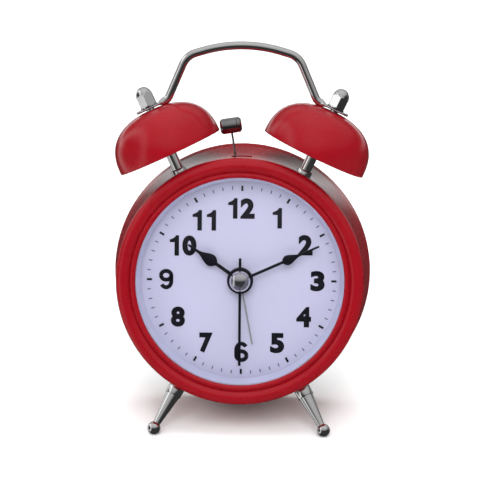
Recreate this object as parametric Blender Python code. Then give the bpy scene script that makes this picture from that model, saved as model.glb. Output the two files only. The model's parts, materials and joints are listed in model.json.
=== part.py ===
"""Twin-bell alarm clock with a quartz movement, as its separate pieces.

The clock is modelled lying on its back: +X right, +Y towards twelve o'clock and +Z out of the dial,
with the origin on the dial's axis in the plane of the bezel's front. A depth is a distance behind
that plane. The empty named stand then tips the clock up until it rests on its two ball feet and on
the rear edge of its case.
"""

import math

import bmesh
import bpy
from mathutils import Matrix, Vector

MM = 0.001

# Clearances: between pieces that rest on each other, and round a shaft in its bore
GAP = 0.3 * MM
FIT = 0.15 * MM

# Case: a sheet-metal drum that flares towards the rear and ends in a rolled edge
CASE_FRONT_RADIUS = 41.2 * MM
CASE_FLARE = 3.6 * MM
CASE_FLARE_POWER = 1.3
CASE_FRONT = 3.2 * MM
FLARE_START = 6.0 * MM
CASE_BEFORE_BATTERY = 19.2 * MM
BATTERY_RADIUS = 7.1 * MM
CASE_REAR = CASE_BEFORE_BATTERY + 2 * BATTERY_RADIUS
CASE_WALL = 0.7 * MM
RIM_BEAD = 0.6 * MM
HAMMER_SLOT = (7.0 * MM, 2.4 * MM)

# Bezel, lens, ring and dial
SHEET = 0.8 * MM
OPENING_RADIUS = 35.5 * MM
BEAD_WIDTH = 2.0 * MM
BEZEL_SKIRT = 6.5 * MM
BEZEL_CROWN = 1.1 * MM
LENS_APEX = 1.2 * MM
LENS_SAG = 3.5 * MM
LENS_WALL = 1.2 * MM
LENS_FLANGE = 1.3 * MM
RING_INNER = 34.0 * MM
DIAL_DEPTH = 8.0 * MM
DIAL_WALL = 0.5 * MM
DIAL_RADIUS = 37.3 * MM
CHASSIS_WALL = 0.9 * MM
PILLAR_RADIUS = 2.6 * MM
PILLAR_SPOT = (32.5 * MM, 9.0 * MM)

# Movement: its housing and the layers that its wheels turn in
MOVEMENT_HALF = 25.0 * MM
MOVEMENT_WALL = 0.8 * MM
FIRST_LAYER = 10.0 * MM
LAYER_PITCH = 0.85 * MM
WHEEL_WALL = 0.5 * MM
LAYERS = 7
ARBOR_RADIUS = 0.45 * MM

# Concentric tubes, each (bore radius, outer radius), and the faces of the hands they carry
CANNON_TUBE = (0.75 * MM, 1.4 * MM)
HOUR_TUBE = (1.7 * MM, 2.3 * MM)
ALARM_TUBE = (2.6 * MM, 3.2 * MM)
ALARM_HAND_DEPTH = 6.9 * MM
HOUR_HAND_DEPTH = 5.8 * MM
MINUTE_HAND_DEPTH = 4.7 * MM
SECOND_HAND_DEPTH = 3.7 * MM
HAND_WALL = 0.35 * MM
HAND_HUB = 4.45 * MM
CAP_RADIUS = 3.4 * MM
CAP_HEIGHT = 2.6 * MM

# Teeth, (wheel, pinion), and the distances between the arbors
MOTION_DISTANCE = 8.4 * MM
CANNON_TEETH = (24, 8)
HOUR_TEETH = (32, 8)
ALARM_TEETH = (24, 8)
TRAIN_DISTANCE = 7.4 * MM
CENTRE_TEETH = (48, 6)
THIRD_TEETH = (45, 6)
STEP_DISTANCE = 7.0 * MM
SECOND_TEETH = (36, 6)
ROTOR_DISTANCE = 6.0 * MM
STEP_TEETH = (30, 6)

# Hands: directions clockwise from twelve, in degrees
HOUR_DIRECTION = 304.2
MINUTE_DIRECTION = 65.7
SECOND_DIRECTION = 180.0
ALARM_DIRECTION = 169.0
HOUR_LENGTH = 21.5 * MM
MINUTE_LENGTH = 30.5 * MM
SECOND_LENGTH = 29.5 * MM
ALARM_LENGTH = 22.6 * MM

# Bells, their posts, nuts and the handle
BELL_DEPTH = 14.0 * MM
BELL_RADIUS = 18.45 * MM
BELL_HEIGHT = 16.1 * MM
BELL_WALL = 0.7 * MM
BELL_TILT = math.radians(25.2)
BELL_STANDOFF = 7.5 * MM
POST_RADIUS = 1.9 * MM
THREAD_RADIUS = 1.4 * MM
NUT_ACROSS = 5.5 * MM
NUT_HEIGHT = 2.4 * MM
CAP_NUT_HEIGHT = 6.8 * MM
HANDLE_RADIUS = 1.4 * MM
HANDLE_TOP = 79.8 * MM
HANDLE_TOP_RADIUS = 47.6 * MM
HANDLE_LEG_TILT = math.radians(23.0)
HANDLE_SHOULDER = 14.5 * MM
HANDLE_LEG_FOOT = (22.4 * MM, 65.95 * MM)
HANDLE_ROOT_X = 21.35 * MM
TAB_WALL = 1.0 * MM
TAB_HALF_WIDTH = 3.5 * MM
TAB_END = 4.9 * MM

# Hammer, its lever and the motor that shakes it
PIVOT_HEIGHT = 28.7 * MM
HEAD_ABOVE_CASE = 11.2 * MM
HEAD_HEIGHT = CASE_FRONT_RADIUS + HEAD_ABOVE_CASE
HEAD_TRAVEL = 3.84 * MM
HEAD_LENGTH = 7.3 * MM
HEAD_RADIUS = 2.45 * MM
STRIKE_GAP = 0.31 * MM
WIRE_RADIUS = 0.35 * MM
PIVOT_RADIUS = 1.0 * MM
LEVER_HUB = 2.3 * MM
MOTOR_DROP = 7.0 * MM
MOTOR_RADIUS = 7.5 * MM
MOTOR_LENGTH = 10.0 * MM
CRANK_PIN_RADIUS = 0.6 * MM
FORK_HALF_GAP = 1.3 * MM
FORK_WALL = 1.2 * MM

# Feet
FOOT_SPREAD = math.radians(29.7)
FOOT_LENGTH = 18.3 * MM
FOOT_TILT = math.radians(19.6)
FOOT_DEPTH = 9.7 * MM
FOOT_BALL = 2.2 * MM
FOOT_COLLAR = 2.7 * MM

# Rear cover, its knobs and the battery
COVER_WALL = 2.0 * MM
SCREW_RADIUS = 1.2 * MM
SCREW_HEAD = 2.4 * MM
KNOB_RADIUS = 5.6 * MM
KNOB_HEIGHT = 6.0 * MM
SETTING_SHAFT = 1.5 * MM
BATTERY_LENGTH = 50.5 * MM
BATTERY_FLOOR = -28.1 * MM
BATTERY_HEIGHT = BATTERY_FLOOR + BATTERY_RADIUS
DOOR_WALL = 1.2 * MM
DOOR_LAP = 1.9 * MM
SWITCH_SPOT = (21.0 * MM, 20.0 * MM)
SWITCH_TRAVEL = 4.0 * MM

# Segments round a large, a middling and a small turned piece
LARGE, MIDDLE, SMALL = 40, 24, 12


# ---------------------------------------------------------------- materials


def material(name, colour, roughness, metallic=0.0, transmission=0.0):
    made = bpy.data.materials.new(name)
    made.use_nodes = True
    shader = made.node_tree.nodes["Principled BSDF"]
    shader.inputs["Base Color"].default_value = (*colour, 1.0)
    shader.inputs["Roughness"].default_value = roughness
    shader.inputs["Metallic"].default_value = metallic
    shader.inputs["Transmission Weight"].default_value = transmission
    made.diffuse_color = (*colour, 1.0)
    return made


def all_materials():
    return {
        "enamel": material("red_enamel", (0.55, 0.006, 0.01), 0.18),
        "chrome": material("chrome", (0.78, 0.78, 0.8), 0.08, 1.0),
        "steel": material("steel", (0.42, 0.42, 0.43), 0.3, 1.0),
        "brass": material("brass", (0.72, 0.5, 0.2), 0.3, 1.0),
        "copper": material("copper", (0.6, 0.24, 0.12), 0.35, 1.0),
        "lens": material("clear_lens", (0.95, 0.97, 1.0), 0.03, 0.0, 0.9),
        "dial": material("dial_white", (0.62, 0.62, 0.78), 0.5),
        "white": material("white_plastic", (0.72, 0.72, 0.74), 0.4),
        "black": material("black_plastic", (0.015, 0.015, 0.016), 0.4),
        "hand": material("hand_black", (0.006, 0.006, 0.007), 0.35),
        "silver": material("hand_silver", (0.4, 0.4, 0.42), 0.35, 0.8),
        "board": material("board_green", (0.02, 0.16, 0.06), 0.5),
        "battery": material("battery_sleeve", (0.04, 0.05, 0.06), 0.3),
    }


# ---------------------------------------------------------------- mesh tools


def behind(points):
    """Outline of (radius, depth) points as (radius, height) points."""
    return [(radius, -depth) for radius, depth in points]


def circle(radius, count, centre=(0.0, 0.0)):
    turn = 2 * math.pi / count
    return [
        (
            centre[0] + radius * math.cos((i + 0.5) * turn),
            centre[1] + radius * math.sin((i + 0.5) * turn),
        )
        for i in range(count)
    ]


def arc(centre, radius, start, end, steps):
    """Points on an arc, from the angle start to the angle end in degrees."""
    angles = [math.radians(start + (end - start) * i / steps) for i in range(steps + 1)]
    return [(centre[0] + radius * math.cos(a), centre[1] + radius * math.sin(a)) for a in angles]


def rectangle(left, bottom, right, top):
    return [(left, bottom), (right, bottom), (right, top), (left, top)]


def turned(profile, segments, across=None):
    """Solid turned about Z from (radius, height) points. A profile off the axis closes on itself.

    across gives a hexagon's width over its flats, which trims the turned shape.
    """
    mesh = bmesh.new()
    start = math.pi / segments
    points = [
        mesh.verts.new((radius * math.cos(start), radius * math.sin(start), height))
        for radius, height in profile
    ]
    edges = [mesh.edges.new(pair) for pair in zip(points, points[1:])]
    if profile[0][0] > 0 or profile[-1][0] > 0:
        edges.append(mesh.edges.new((points[-1], points[0])))
    bmesh.ops.spin(
        mesh,
        geom=points + edges,
        axis=(0, 0, 1),
        angle=2 * math.pi,
        steps=segments,
        use_merge=True,
    )
    bmesh.ops.remove_doubles(mesh, verts=mesh.verts, dist=1e-7)
    if across:
        for vert in mesh.verts:
            trim_to_hexagon(vert, across / 2)
    bmesh.ops.recalc_face_normals(mesh, faces=mesh.faces)
    return mesh


def trim_to_hexagon(vert, apothem):
    angle = math.atan2(vert.co.y, vert.co.x)
    side = math.pi / 3
    limit = apothem / math.cos((angle % side) - side / 2)
    radius = math.hypot(vert.co.x, vert.co.y)
    if radius > limit:
        vert.co.x *= limit / radius
        vert.co.y *= limit / radius


def prism(outline, bottom, top, holes=()):
    """Plate between two heights, with an outline and holes of (x, y) points."""
    mesh = bmesh.new()
    edges = []
    for loop in (outline, *holes):
        corners = [mesh.verts.new((x, y, bottom)) for x, y in loop]
        edges += [mesh.edges.new(pair) for pair in zip(corners, corners[1:] + corners[:1])]
    bmesh.ops.triangle_fill(mesh, use_beauty=True, edges=edges)
    made = bmesh.ops.extrude_face_region(mesh, geom=mesh.faces[:])
    raised = [item for item in made["geom"] if isinstance(item, bmesh.types.BMVert)]
    bmesh.ops.translate(mesh, verts=raised, vec=(0, 0, top - bottom))
    bmesh.ops.recalc_face_normals(mesh, faces=mesh.faces)
    return mesh


def swept(path, sides, half_widths, half_heights, across=Vector((0, 0, 1))):
    """Bar along a path of points in a plane square to across, with a section that may change."""
    mesh = bmesh.new()
    rings = []
    for i, point in enumerate(path):
        ahead = path[min(i + 1, len(path) - 1)] - path[max(i - 1, 0)]
        normal = across.cross(ahead).normalized()
        ring = []
        for k in range(sides):
            angle = 2 * math.pi * (k + 0.5) / sides
            offset = across * (half_widths[i] * math.cos(angle))
            offset = offset + normal * (half_heights[i] * math.sin(angle))
            ring.append(mesh.verts.new(point + offset))
        rings.append(ring)
    for low, high in zip(rings, rings[1:]):
        for k in range(sides):
            n = (k + 1) % sides
            mesh.faces.new((low[k], low[n], high[n], high[k]))
    mesh.faces.new(rings[0])
    mesh.faces.new(rings[-1])
    bmesh.ops.recalc_face_normals(mesh, faces=mesh.faces)
    return mesh


def rounded_path(corners, radii, steps=4):
    """Points of a path through corners, with each inner corner rounded to its radius."""
    path = [corners[0]]
    for before, corner, after, radius in zip(corners, corners[1:], corners[2:], radii):
        into = (corner - before).normalized()
        out = (after - corner).normalized()
        turn = into.angle(out)
        reach = radius * math.tan(turn / 2)
        centre = corner + (out - into).normalized() * (radius / math.cos(turn / 2))
        first = corner - into * reach - centre
        last = corner + out * reach - centre
        shares = [i / steps for i in range(steps + 1)]
        path += [centre + first.lerp(last, share).normalized() * radius for share in shares]
    return path + [corners[-1]]


def piece(name, mesh, look, parent, location=(0, 0, 0), spin=0.0, depth=None):
    """Object of a mesh, on its parent. depth is a shorthand for a place on the dial's axis."""
    data = bpy.data.meshes.new(name)
    mesh.to_mesh(data)
    mesh.free()
    data.materials.append(look)
    data.shade_smooth()
    data.set_sharp_from_angle(angle=math.radians(35))
    made = bpy.data.objects.new(name, data)
    made.parent = parent
    made.location = (0, 0, -depth) if depth is not None else location
    made.rotation_euler = (0, 0, spin)
    bpy.context.scene.collection.objects.link(made)
    return made


def tool(target, mesh, operation, location=(0, 0, 0), rotation=None):
    """Hidden solid that a Boolean adds to its target, or takes from it."""
    data = bpy.data.meshes.new(target.name + "_tool")
    mesh.to_mesh(data)
    mesh.free()
    made = bpy.data.objects.new(data.name, data)
    made.parent = target
    made.location = location
    if rotation:
        made.rotation_mode = "QUATERNION"
        made.rotation_quaternion = rotation
    made.hide_render = True
    made.display_type = "WIRE"
    bpy.context.scene.collection.objects.link(made)
    step = target.modifiers.new(operation.title(), "BOOLEAN")
    step.operation = operation
    step.object = made
    return made


def cut(target, mesh, location=(0, 0, 0), rotation=None):
    return tool(target, mesh, "DIFFERENCE", location, rotation)


def add(target, mesh, location=(0, 0, 0), rotation=None):
    return tool(target, mesh, "UNION", location, rotation)


def empty(name, parent, location, direction=None):
    """Frame whose own Z points along direction."""
    made = bpy.data.objects.new(name, None)
    made.parent = parent
    made.location = location
    if direction:
        made.rotation_mode = "QUATERNION"
        made.rotation_quaternion = towards(direction)
    bpy.context.scene.collection.objects.link(made)
    return made


def towards(direction):
    return Vector(direction).to_track_quat("Z", "Y")


# ---------------------------------------------------------------- worked-out sizes


def case_radius(depth):
    share = max(0.0, depth - FLARE_START) / (CASE_REAR - FLARE_START)
    return CASE_FRONT_RADIUS + CASE_FLARE * share**CASE_FLARE_POWER


def layer(index):
    """Front depth of a layer of the movement, counted from one at the dial."""
    return FIRST_LAYER + LAYER_PITCH * (index - 1)


def layer_heights(index):
    return -layer(index) - WHEEL_WALL, -layer(index)


HOUSING_FRONT = DIAL_DEPTH + DIAL_WALL + 0.4 * MM
BACK_PLATE = layer(LAYERS) + WHEEL_WALL + GAP
BACK_PLATE_REAR = BACK_PLATE + MOVEMENT_WALL
COVER_REAR = CASE_REAR + RIM_BEAD
COVER_FRONT = COVER_REAR - COVER_WALL
COVER_RADIUS = case_radius(COVER_FRONT) - CASE_WALL - GAP - 0.1 * MM

SWING = math.atan2(HEAD_TRAVEL, HEAD_HEIGHT - PIVOT_HEIGHT)
ARM_LENGTH = math.hypot(HEAD_TRAVEL, HEAD_HEIGHT - PIVOT_HEIGHT)
CRANK_THROW = MOTOR_DROP * math.sin(SWING)
MOTOR_HEIGHT = PIVOT_HEIGHT - MOTOR_DROP
FORK_DEPTH = BACK_PLATE_REAR + 0.9 * MM
CRANK_DEPTH = FORK_DEPTH + FORK_WALL + 1.0 * MM
MOTOR_DEPTH = CRANK_DEPTH + 1.6 * MM

RIM_X = HEAD_TRAVEL + HEAD_LENGTH / 2 + STRIKE_GAP + BELL_RADIUS * math.cos(BELL_TILT)
ROOT_X = RIM_X - BELL_STANDOFF * math.sin(BELL_TILT)
ROOT_Y = math.sqrt(case_radius(BELL_DEPTH) ** 2 - ROOT_X**2)
SEAT_GAP = 0.9 * MM

BATTERY_DEPTH = BACK_PLATE_REAR + 1.5 * MM + BATTERY_RADIUS
BOX_HALF_LENGTH = BATTERY_LENGTH / 2 + 2.05 * MM
BOX_HALF_HEIGHT = BATTERY_RADIUS + 0.35 * MM
BOX_WALL = 0.9 * MM


def foot_direction(side):
    """Unit vector along a foot, from the case outwards."""
    flat = Vector((side * math.sin(FOOT_SPREAD), -math.cos(FOOT_SPREAD), 0))
    return flat * math.cos(FOOT_TILT) + Vector((0, 0, math.sin(FOOT_TILT)))


def foot_root(side):
    radius = case_radius(FOOT_DEPTH)
    return Vector((side * radius * math.sin(FOOT_SPREAD), -radius * math.cos(FOOT_SPREAD), -FOOT_DEPTH))


def lean():
    """Angle that the clock leans back by when it rests on its ball feet and the case's rear edge."""
    ball = foot_root(1) + foot_direction(1) * FOOT_LENGTH
    edge = case_radius(CASE_REAR) - RIM_BEAD + 0.2 * MM
    rise = ball.y + edge
    run = ball.z + CASE_REAR
    return math.asin((FOOT_BALL - RIM_BEAD) / math.hypot(rise, run)) - math.atan2(rise, run)


# ---------------------------------------------------------------- case and face


def case_outline():
    steps = 5
    depths = [FLARE_START + (CASE_REAR - FLARE_START) * i / steps for i in range(steps + 1)]
    outer = [(CASE_FRONT_RADIUS, CASE_FRONT)] + [(case_radius(d), d) for d in depths]
    bead = arc((case_radius(CASE_REAR) - RIM_BEAD + 0.2 * MM, CASE_REAR), RIM_BEAD, 0, 180, 4)
    inner = [(case_radius(d) - CASE_WALL, d) for d in reversed(depths)]
    inner[0] = (bead[-1][0], CASE_REAR - 0.4 * MM)
    return outer[:-1] + bead + inner + [(CASE_FRONT_RADIUS - CASE_WALL, CASE_FRONT)]


def make_case(stand, looks):
    case = piece("case_shell", turned(behind(case_outline()), LARGE), looks["enamel"], stand)
    width, thickness = HAMMER_SLOT
    slot = rectangle(-width / 2, -4 * MM, width / 2, 4 * MM)
    slot = [(x, y + case_radius(BELL_DEPTH)) for x, y in slot]
    cut(case, prism(slot, -BELL_DEPTH - thickness / 2, -BELL_DEPTH + thickness / 2))
    hole = [(0, -5 * MM), (THREAD_RADIUS + FIT * 2, -5 * MM), (THREAD_RADIUS + FIT * 2, 5 * MM), (0, 5 * MM)]
    for side in (-1, 1):
        root = (side * ROOT_X, ROOT_Y, -BELL_DEPTH)
        cut(case, turned(hole, SMALL), root, towards(bell_axis(side)))
        cut(case, turned(hole, SMALL), foot_root(side), towards(foot_direction(side)))


def bezel_front():
    """Front line of the bezel: an inner bead, a groove and the broad rounded ring."""
    groove = OPENING_RADIUS + BEAD_WIDTH
    skirt = CASE_FRONT_RADIUS + GAP + SHEET
    bead = [(OPENING_RADIUS, 1.9), (OPENING_RADIUS, 1.2), (OPENING_RADIUS + 0.9 * MM, 0.5)]
    bead = [(radius, depth * MM) for radius, depth in bead]
    ring = [
        (groove, BEZEL_CROWN),
        (groove + 0.25 * (skirt - groove), 0.2 * MM),
        (groove + 0.5 * (skirt - groove), 0.0),
        (groove + 0.75 * (skirt - groove), 0.45 * MM),
        (skirt - 0.2 * MM, 1.5 * MM),
        (skirt, 2.7 * MM),
        (skirt, BEZEL_SKIRT),
    ]
    return bead + ring


def make_bezel(stand, looks):
    front = bezel_front()
    skirt = front[-1][0]
    back = [
        (skirt - SHEET, BEZEL_SKIRT),
        (skirt - SHEET, 2.9 * MM),
        (skirt - SHEET - 0.7 * MM, 1.7 * MM),
        (OPENING_RADIUS + BEAD_WIDTH + 1.6 * MM, 1.2 * MM),
        (OPENING_RADIUS + BEAD_WIDTH, 2.0 * MM),
        (OPENING_RADIUS + 0.9 * MM, 1.6 * MM),
    ]
    piece("front_bezel", turned(behind(front + back), LARGE), looks["enamel"], stand)


def lens_surface(radius, apex):
    """Depth of the domed glass at a radius."""
    return apex + LENS_SAG * (radius / OPENING_RADIUS) ** 2


def make_lens(stand, looks):
    rim = OPENING_RADIUS
    outer = [(rim * i / 3, lens_surface(rim * i / 3, -LENS_APEX)) for i in range(4)]
    inside = rim - LENS_WALL
    inner = [(inside * i / 3, lens_surface(inside * i / 3, LENS_WALL - LENS_APEX)) for i in range(3, -1, -1)]
    edge = lens_surface(rim, -LENS_APEX)
    flange = [(rim + LENS_FLANGE, edge), (rim + LENS_FLANGE, edge + LENS_WALL), (inside, edge + LENS_WALL)]
    piece("lens", turned(behind(outer + flange + inner[1:]), LARGE), looks["lens"], stand)


def make_dial(stand, looks):
    front = lens_surface(OPENING_RADIUS, -LENS_APEX) + LENS_WALL + GAP
    rear = DIAL_DEPTH - GAP
    ring = [
        (OPENING_RADIUS - 0.1 * MM, front),
        (OPENING_RADIUS + LENS_FLANGE, front),
        (DIAL_RADIUS, rear - 0.8 * MM),
        (DIAL_RADIUS, rear),
        (RING_INNER, rear),
    ]
    piece("dial_ring", turned(behind(ring), LARGE), looks["white"], stand)
    hole = ALARM_TUBE[1] + 0.4 * MM
    dial = [
        (hole, DIAL_DEPTH),
        (DIAL_RADIUS, DIAL_DEPTH),
        (DIAL_RADIUS, DIAL_DEPTH + DIAL_WALL),
        (hole, DIAL_DEPTH + DIAL_WALL),
    ]
    piece("dial", turned(behind(dial), LARGE), looks["dial"], stand)


def pillar_spots():
    x, y = PILLAR_SPOT
    return [(x, y), (-x, y), (-x, -y), (x, -y)]


def make_chassis(stand, looks):
    """Plate behind the dial, with a square opening for the movement and four pillars."""
    half = MOVEMENT_HALF + GAP
    pin = circle(PIVOT_RADIUS + FIT, SMALL, (0, PIVOT_HEIGHT))
    plate = prism(
        circle(DIAL_RADIUS, 40),
        -HOUSING_FRONT - CHASSIS_WALL,
        -HOUSING_FRONT,
        (rectangle(-half, -half, half, half), pin),
    )
    chassis = piece("chassis", plate, looks["white"], stand)
    end = COVER_FRONT - GAP
    for x, y in pillar_spots():
        pillar = circle(PILLAR_RADIUS, SMALL, (x, y))
        add(chassis, prism(pillar, -end, -HOUSING_FRONT - 0.3 * MM))
        hole = circle(SCREW_RADIUS + FIT, 8, (x, y))
        cut(chassis, prism(hole, -end - 1 * MM, -end + 6 * MM))


# ---------------------------------------------------------------- hands


def blade(hub, stem, start, widest, width, taper, tip, length):
    """Half outline of a teardrop hand along +Y, from the hub to the tip."""
    return [
        (stem, hub),
        (stem, start - 0.25 * MM),
        (width * 0.62, start),
        (width * 0.92, start + 0.4 * (widest - start)),
        (width, widest),
        (width * 0.8, widest + 0.3 * (taper - widest)),
        (width * 0.5, widest + 0.62 * (taper - widest)),
        (tip, taper),
        (tip * 0.8, length),
    ]


def hand_outline(half):
    """Outline of a hand with a round hub: the half outline, mirrored, and the hub's circle."""
    stem = half[0][0]
    opening = math.degrees(math.asin(stem / HAND_HUB))
    hub = arc((0, 0), HAND_HUB, 90 + opening, 450 - opening, 22)
    right = half[1:]
    left = [(-x, y) for x, y in reversed(right)]
    return hub + right + left


def make_hand(name, half, bore, depth, direction, look, stand):
    holes = (circle(bore, SMALL),)
    mesh = prism(hand_outline(half), -HAND_WALL, 0, holes)
    return piece(name, mesh, look, stand, depth=depth, spin=-math.radians(direction))


def make_hands(stand, looks):
    hour = blade(HAND_HUB, 0.5 * MM, 10.1 * MM, 12.1 * MM, 2.1 * MM, 18.0 * MM, 0.45 * MM, HOUR_LENGTH)
    make_hand("hour_hand", hour, HOUR_TUBE[1] + FIT, HOUR_HAND_DEPTH, HOUR_DIRECTION, looks["hand"], stand)
    minute = blade(HAND_HUB, 0.4 * MM, 16.1 * MM, 17.6 * MM, 1.65 * MM, 22.7 * MM, 0.4 * MM, MINUTE_LENGTH)
    bore = CANNON_TUBE[1] + FIT
    make_hand("minute_hand", minute, bore, MINUTE_HAND_DEPTH, MINUTE_DIRECTION, looks["hand"], stand)
    plain = [(0.35 * MM, HAND_HUB), (0.3 * MM, ALARM_LENGTH)]
    bore = ALARM_TUBE[1] + FIT
    make_hand("alarm_hand", plain, bore, ALARM_HAND_DEPTH, ALARM_DIRECTION, looks["silver"], stand)
    make_second_hand(stand, looks)


def make_second_hand(stand, looks):
    hub, half, tail = 1.6 * MM, 0.4 * MM, 7.5 * MM
    side = math.degrees(math.asin(half / hub))
    right = arc((0, 0), hub, -90 + side, 90 - side, 8)
    left = [(-x, y) for x, y in reversed(right)]
    foot = arc((0, -tail), 0.5 * MM, 180, 360, 6)
    outline = [(half, SECOND_LENGTH), (-half, SECOND_LENGTH)] + left + foot + right
    mesh = prism(outline, -HAND_WALL, 0, (circle(ARBOR_RADIUS + FIT, 8),))
    spin = -math.radians(SECOND_DIRECTION)
    piece("second_hand", mesh, looks["hand"], stand, depth=SECOND_HAND_DEPTH, spin=spin)
    bore = ARBOR_RADIUS + FIT
    dome = [(CAP_RADIUS * math.cos(a), CAP_HEIGHT * math.sin(a)) for a in [math.pi * i / 10 for i in range(6)]]
    dome[-1] = (0, CAP_HEIGHT)
    cap = [(0, 1.3 * MM), (bore, 1.2 * MM), (bore, 0)] + dome
    piece("second_hand_cap", turned(cap, 20), looks["chrome"], stand, depth=SECOND_HAND_DEPTH - GAP)


# ---------------------------------------------------------------- movement


def tooth_outline(teeth, module):
    """Outline of a wheel with pointed teeth, one tooth centred on +X."""
    pitch = 2 * math.pi / teeth
    tip = module * (teeth / 2 + 0.9)
    root = module * (teeth / 2 - 1.2)
    outline = []
    for i in range(teeth):
        for radius, share in ((root, -0.33), (tip, 0.0), (root, 0.33)):
            angle = (i + share) * pitch
            outline.append((radius * math.cos(angle), radius * math.sin(angle)))
    return outline


def module_of(distance, pair):
    return 2 * distance / sum(pair)


def wheel(teeth, module, index, bore=None):
    low, high = layer_heights(index)
    holes = (circle(bore, SMALL),) if bore else ()
    return prism(tooth_outline(teeth, module), low, high, holes)


def rod(radius, front, rear, sides=10):
    return prism(circle(radius, sides), -rear, -front)


def tube(bore, radius, front, rear):
    return prism(circle(radius, SMALL), -rear, -front, (circle(bore, SMALL),))


def meshing_spin(teeth, other_spin, other_teeth, bearing):
    """Turn that puts a tooth space of this wheel against a tooth of the wheel it meshes with.

    bearing is the direction from this wheel's arbor to the other's.
    """
    other_phase = ((bearing + math.pi - other_spin) * other_teeth / (2 * math.pi)) % 1.0
    own_phase = 0.5 - other_phase
    return bearing - own_phase * 2 * math.pi / teeth


def make_motion_work(stand, looks):
    """Cannon pinion, minute wheel, hour wheel and alarm wheel, in front of the going train."""
    at = Vector((MOTION_DISTANCE, 0, 0))
    cannon_module = module_of(MOTION_DISTANCE, CANNON_TEETH)
    hour_module = module_of(MOTION_DISTANCE, HOUR_TEETH)
    alarm_module = module_of(2 * MOTION_DISTANCE, ALARM_TEETH)
    bore, radius = CANNON_TUBE
    cannon = piece("cannon_pinion", wheel(CANNON_TEETH[1], cannon_module, 3, bore), looks["brass"], stand)
    add(cannon, tube(bore, radius, MINUTE_HAND_DEPTH - 0.1 * MM, layer(3) + 0.2 * MM))

    spin = meshing_spin(CANNON_TEETH[0], 0.0, CANNON_TEETH[1], math.pi)
    minute = piece("minute_wheel", wheel(CANNON_TEETH[0], cannon_module, 3), looks["white"], stand, at, spin)
    add(minute, rod(ARBOR_RADIUS * 1.3, layer(3), BACK_PLATE_REAR - GAP))
    add(minute, prism(tooth_outline(HOUR_TEETH[1], hour_module), -layer(3) - 0.1 * MM, -layer(2)))

    spin = meshing_spin(HOUR_TEETH[0], spin, HOUR_TEETH[1], 0.0)
    bore, radius = HOUR_TUBE
    hour = piece("hour_wheel", wheel(HOUR_TEETH[0], hour_module, 2, bore), looks["white"], stand, spin=spin)
    add(hour, tube(bore, radius, HOUR_HAND_DEPTH - 0.1 * MM, layer(2) + 0.2 * MM))

    bore, radius = ALARM_TUBE
    alarm = piece("alarm_wheel", wheel(ALARM_TEETH[0], alarm_module, 1, bore), looks["white"], stand)
    add(alarm, tube(bore, radius, ALARM_HAND_DEPTH - 0.1 * MM, layer(1) + 0.2 * MM))


def knob_spot(side):
    return Vector((side * 2 * MOTION_DISTANCE, 0, 0))


def make_setting_works(stand, looks):
    """Time-setting and alarm-setting arbors, each with its pinion and its knob."""
    minute_spin = meshing_spin(CANNON_TEETH[0], 0.0, CANNON_TEETH[1], math.pi)
    time_spin = meshing_spin(CANNON_TEETH[1], minute_spin, CANNON_TEETH[0], math.pi)
    alarm_spin = meshing_spin(ALARM_TEETH[1], 0.0, ALARM_TEETH[0], 0.0)
    works = (
        ("time_set", 1, CANNON_TEETH[1], module_of(MOTION_DISTANCE, CANNON_TEETH), 3, time_spin),
        ("alarm_set", -1, ALARM_TEETH[1], module_of(2 * MOTION_DISTANCE, ALARM_TEETH), 1, alarm_spin),
    )
    end = COVER_REAR + 4.2 * MM
    for name, side, teeth, module, index, spin in works:
        arbor = piece(name + "_arbor", wheel(teeth, module, index), looks["white"], stand, knob_spot(side), spin)
        add(arbor, rod(SETTING_SHAFT, layer(index) + 0.1 * MM, end, SMALL))
        bore = SETTING_SHAFT + FIT
        knob = [
            (bore, 0),
            (KNOB_RADIUS + 0.5 * MM, 0),
            (KNOB_RADIUS + 0.5 * MM, -0.9 * MM),
            (KNOB_RADIUS, -1.2 * MM),
            (KNOB_RADIUS - 0.2 * MM, -KNOB_HEIGHT + 0.5 * MM),
            (KNOB_RADIUS - 0.7 * MM, -KNOB_HEIGHT),
            (0, -KNOB_HEIGHT),
            (0, -4.6 * MM),
            (bore, -4.5 * MM),
        ]
        place = knob_spot(side) - Vector((0, 0, COVER_REAR + GAP))
        piece(name + "_knob", turned(knob, 20), looks["black"], stand, place)


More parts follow.
